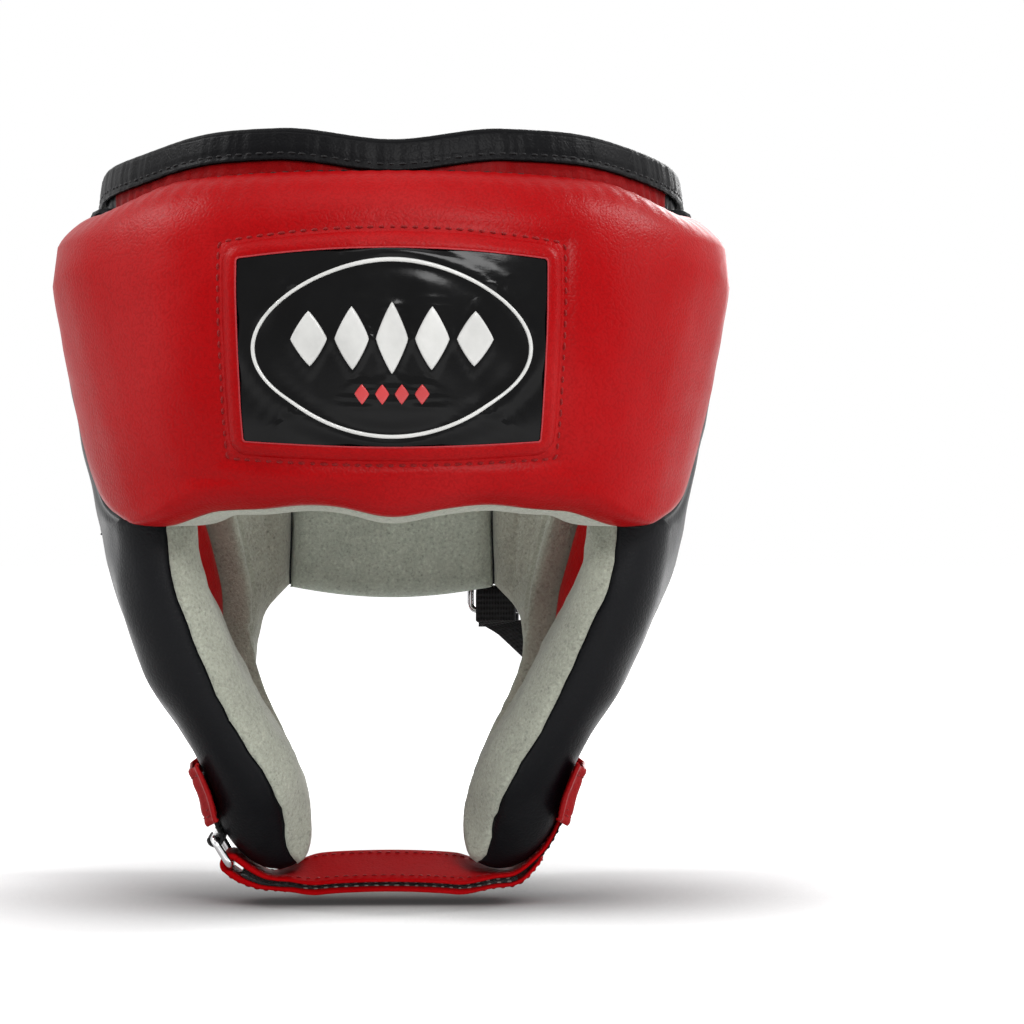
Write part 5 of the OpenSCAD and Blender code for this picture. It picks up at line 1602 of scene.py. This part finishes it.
strip("lower_hook_strip", "hook_tape", lower_seat, np.linspace(at_step(8), at_step(16), 60),
      LOWER_HALF - 3, HOOK_FROM, HOOK_FROM + FUZZ_T, HOOK, body="lower_tail", columns=24)
v = np.linspace(-LOWER_HALF + 2, LOWER_HALF - 2, 70)
for u in (LOWER_ROOT - 1.6, LOWER_ROOT - 3.2):
    stitch("lower_root", lower_seat(u, v, STRAP_T - 0.05), normal(u, LOWER_Z + v))

# ---- rear ring's webbing -----------------------------------------------------------------------
ends = [surf(FOLD_A, LOWER_Z + v * LOWER_HALF, BAR_N) for v in (-1, 1)]
bar_mid = (ends[0] + ends[1]) / 2
ring_up = unit(ends[1] - ends[0])
far_mid = surf(FOLD_A + turn(FOLD_A, LOWER_Z, REAR_RING_W), LOWER_Z, BAR_N + RING_RISE)
ring_run = far_mid - bar_mid
ring_run = unit(ring_run - (ring_run @ ring_up) * ring_up)
ring_face = np.cross(ring_up, ring_run)
RING_LOW = -(LOWER_HALF + 10)
WEB_T, WEB_HALF, WEB_TURN = 1.4, REAR_RING_W / 2 - WIRE_D, 6.1


def on_ring(x, y, n):
    """A point in the rear ring's plane: x back from its front bar, y up, n out."""
    return bar_mid + x * ring_run + y * ring_up + n * ring_face


def web_rows():
    """The webbing's inner sheet: middle points, outward normals and half directions."""
    r = WIRE_D / 2 + GAP
    out = []
    flat = lambda y, n: on_ring(REAR_RING_W / 2, RING_LOW + y, n)
    for y in np.linspace(-6, 0, 6):
        out.append((flat(y, -r), -ring_face, ring_run))
    for f in np.linspace(-90, 90, 18):
        d = cos(f) * ring_up + sin(f) * ring_face
        out.append((flat(WEB_TURN, 0) + r * d, d, ring_run))
    for y in np.linspace(0, -4, 4):
        out.append((flat(y, r), ring_face, ring_run))
    for a, z in ((142, -31), (134, -40)):
        ends = [surf(b, c, side_half(b, c) + GAP) for b, c in ((a - 5.5, z + 3), (a + 5.5, z - 3))]
        half = (ends[1] - ends[0]) / 2 / WEB_HALF
        out.append(((ends[0] + ends[1]) / 2, normal(a, z), half))
    return [np.array(q) for q in zip(*out)]


web = web_rows()
web_place = track(*web)
strip("rear_ring_webbing", "black_mesh", web_place, np.linspace(0, len(web[0]) - 1, 150),
      WEB_HALF, 0, WEB_T, WEBBING, columns=20, uv_turn=True)
for name in ("chin_ring", "rear_ring"):
    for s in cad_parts[name].material_slots:
        s.link = "OBJECT"
        s.material = WIRE

sew()


# ---- camera, stage and light -------------------------------------------------------------------
bpy.context.scene.view_settings.view_transform = "Standard"


def aim(obj, at):
    """Turn a lamp or the camera to look at a point."""
    obj.rotation_mode = "QUATERNION"
    obj.rotation_quaternion = (Vector(at) - obj.location).to_track_quat("-Z", "Y")


CAMERA_Y, EYE_Z, AIM_X, AIM_Z = -1.300, 0.008, 0.0414, 0.0108
camera = bpy.data.objects.new("camera", bpy.data.cameras.new("camera"))
camera.data.sensor_width, camera.data.lens = 36.0, 132.5
camera.location = (0, CAMERA_Y, EYE_Z)
aim(camera, (AIM_X, 0, AIM_Z))
camera.data.clip_start, camera.data.clip_end = 0.05, 60
bpy.context.scene.collection.objects.link(camera)
bpy.context.scene.camera = camera


def lamp(name, place, at, size, power, size_y):
    """A soft lamp, its size in metres and its power in watts."""
    data = bpy.data.lights.new(name, "AREA")
    data.shape, data.size, data.size_y, data.energy = "RECTANGLE", size, size_y, power
    obj = bpy.data.objects.new(name, data)
    obj.location = place
    aim(obj, at)
    bpy.context.scene.collection.objects.link(obj)


for row in (("key", (0.40, -1.50, 0.85), (0, 0, 0.02), 0.6, 17.5, 0.5),
            ("top", (-0.15, -0.75, 1.5), (0, 0, 0), 1.1, 8.0, 0.9),
            ("left_side", (1.5, -0.25, 0.35), (0, 0, 0), 0.35, 2.8, 1.0),
            ("right_side", (-1.5, -0.25, 0.35), (0, 0, 0), 0.35, 2.8, 1.0),
            ("left_softbox", (1.05, 0.06, 0.95), (0.1, 0, 0.09), 0.22, 8.0, 0.30),
            ("right_softbox", (-1.05, 0.06, 0.95), (-0.1, 0, 0.09), 0.22, 8.0, 0.30),
            ("back", (0.4, 1.6, 0.55), (0, 0, 0), 0.9, 18.0, 0.9)):
    lamp(*row)


world = bpy.data.worlds.new("studio")
world.use_nodes = True
bpy.context.scene.world = world
sky = Tree(world.node_tree)
shade = sky.nodes["Background"]
shade.inputs["Color"].default_value = (0.24, 0.24, 0.245, 1)
sky.show(shade.outputs[0], sky.node("Background", Color=(1, 1, 1, 1)).outputs[0], "World Output")


def floor_material():
    """White where it is lit, with a painted shadow under the object."""
    p = Paint("floor", (0.75, 0.75, 0.75), 0.9)
    # close under the object the floor's colour is darkened by ambient occlusion: a painted shadow
    shade = p.node("AmbientOcclusion", Distance=0.11, Color=(0.85, 0.85, 0.85, 1))
    diffuse = p.node("BsdfDiffuse")
    p.wire(p.mix(1.0, shade.outputs["Color"], shade.outputs["AO"], "MULTIPLY"),
           diffuse.inputs["Color"])
    # far from the lamps the floor keeps its white by a glow that grows with distance
    away = p.node("VectorMath", operation="LENGTH")
    p.wire(p.place, away.inputs[0])
    rise = p.node("MapRange", From_Min=0.12, From_Max=0.9, To_Min=0.03, To_Max=1.0)
    p.wire(away.outputs["Value"], rise.inputs["Value"])
    glow = p.node("Emission")
    p.wire(rise.outputs["Result"], glow.inputs["Strength"])
    both = p.node("AddShader")
    p.wire(diffuse.outputs[0], both.inputs[0])
    p.wire(glow.outputs[0], both.inputs[1])
    p.show(p.shader.outputs[0], both.outputs[0], "Material Output")
    return p.material


FLOOR_Z = CAD_BOX[0][2] * 1000 - 1.0
corners = [(x, y, FLOOR_Z) for x, y in ((-9e3, -9e3), (9e3, -9e3), (9e3, 9e3), (-9e3, 9e3))]
floor = mesh("floor", corners, [[0, 1, 2, 3]], floor_material(), body=None)
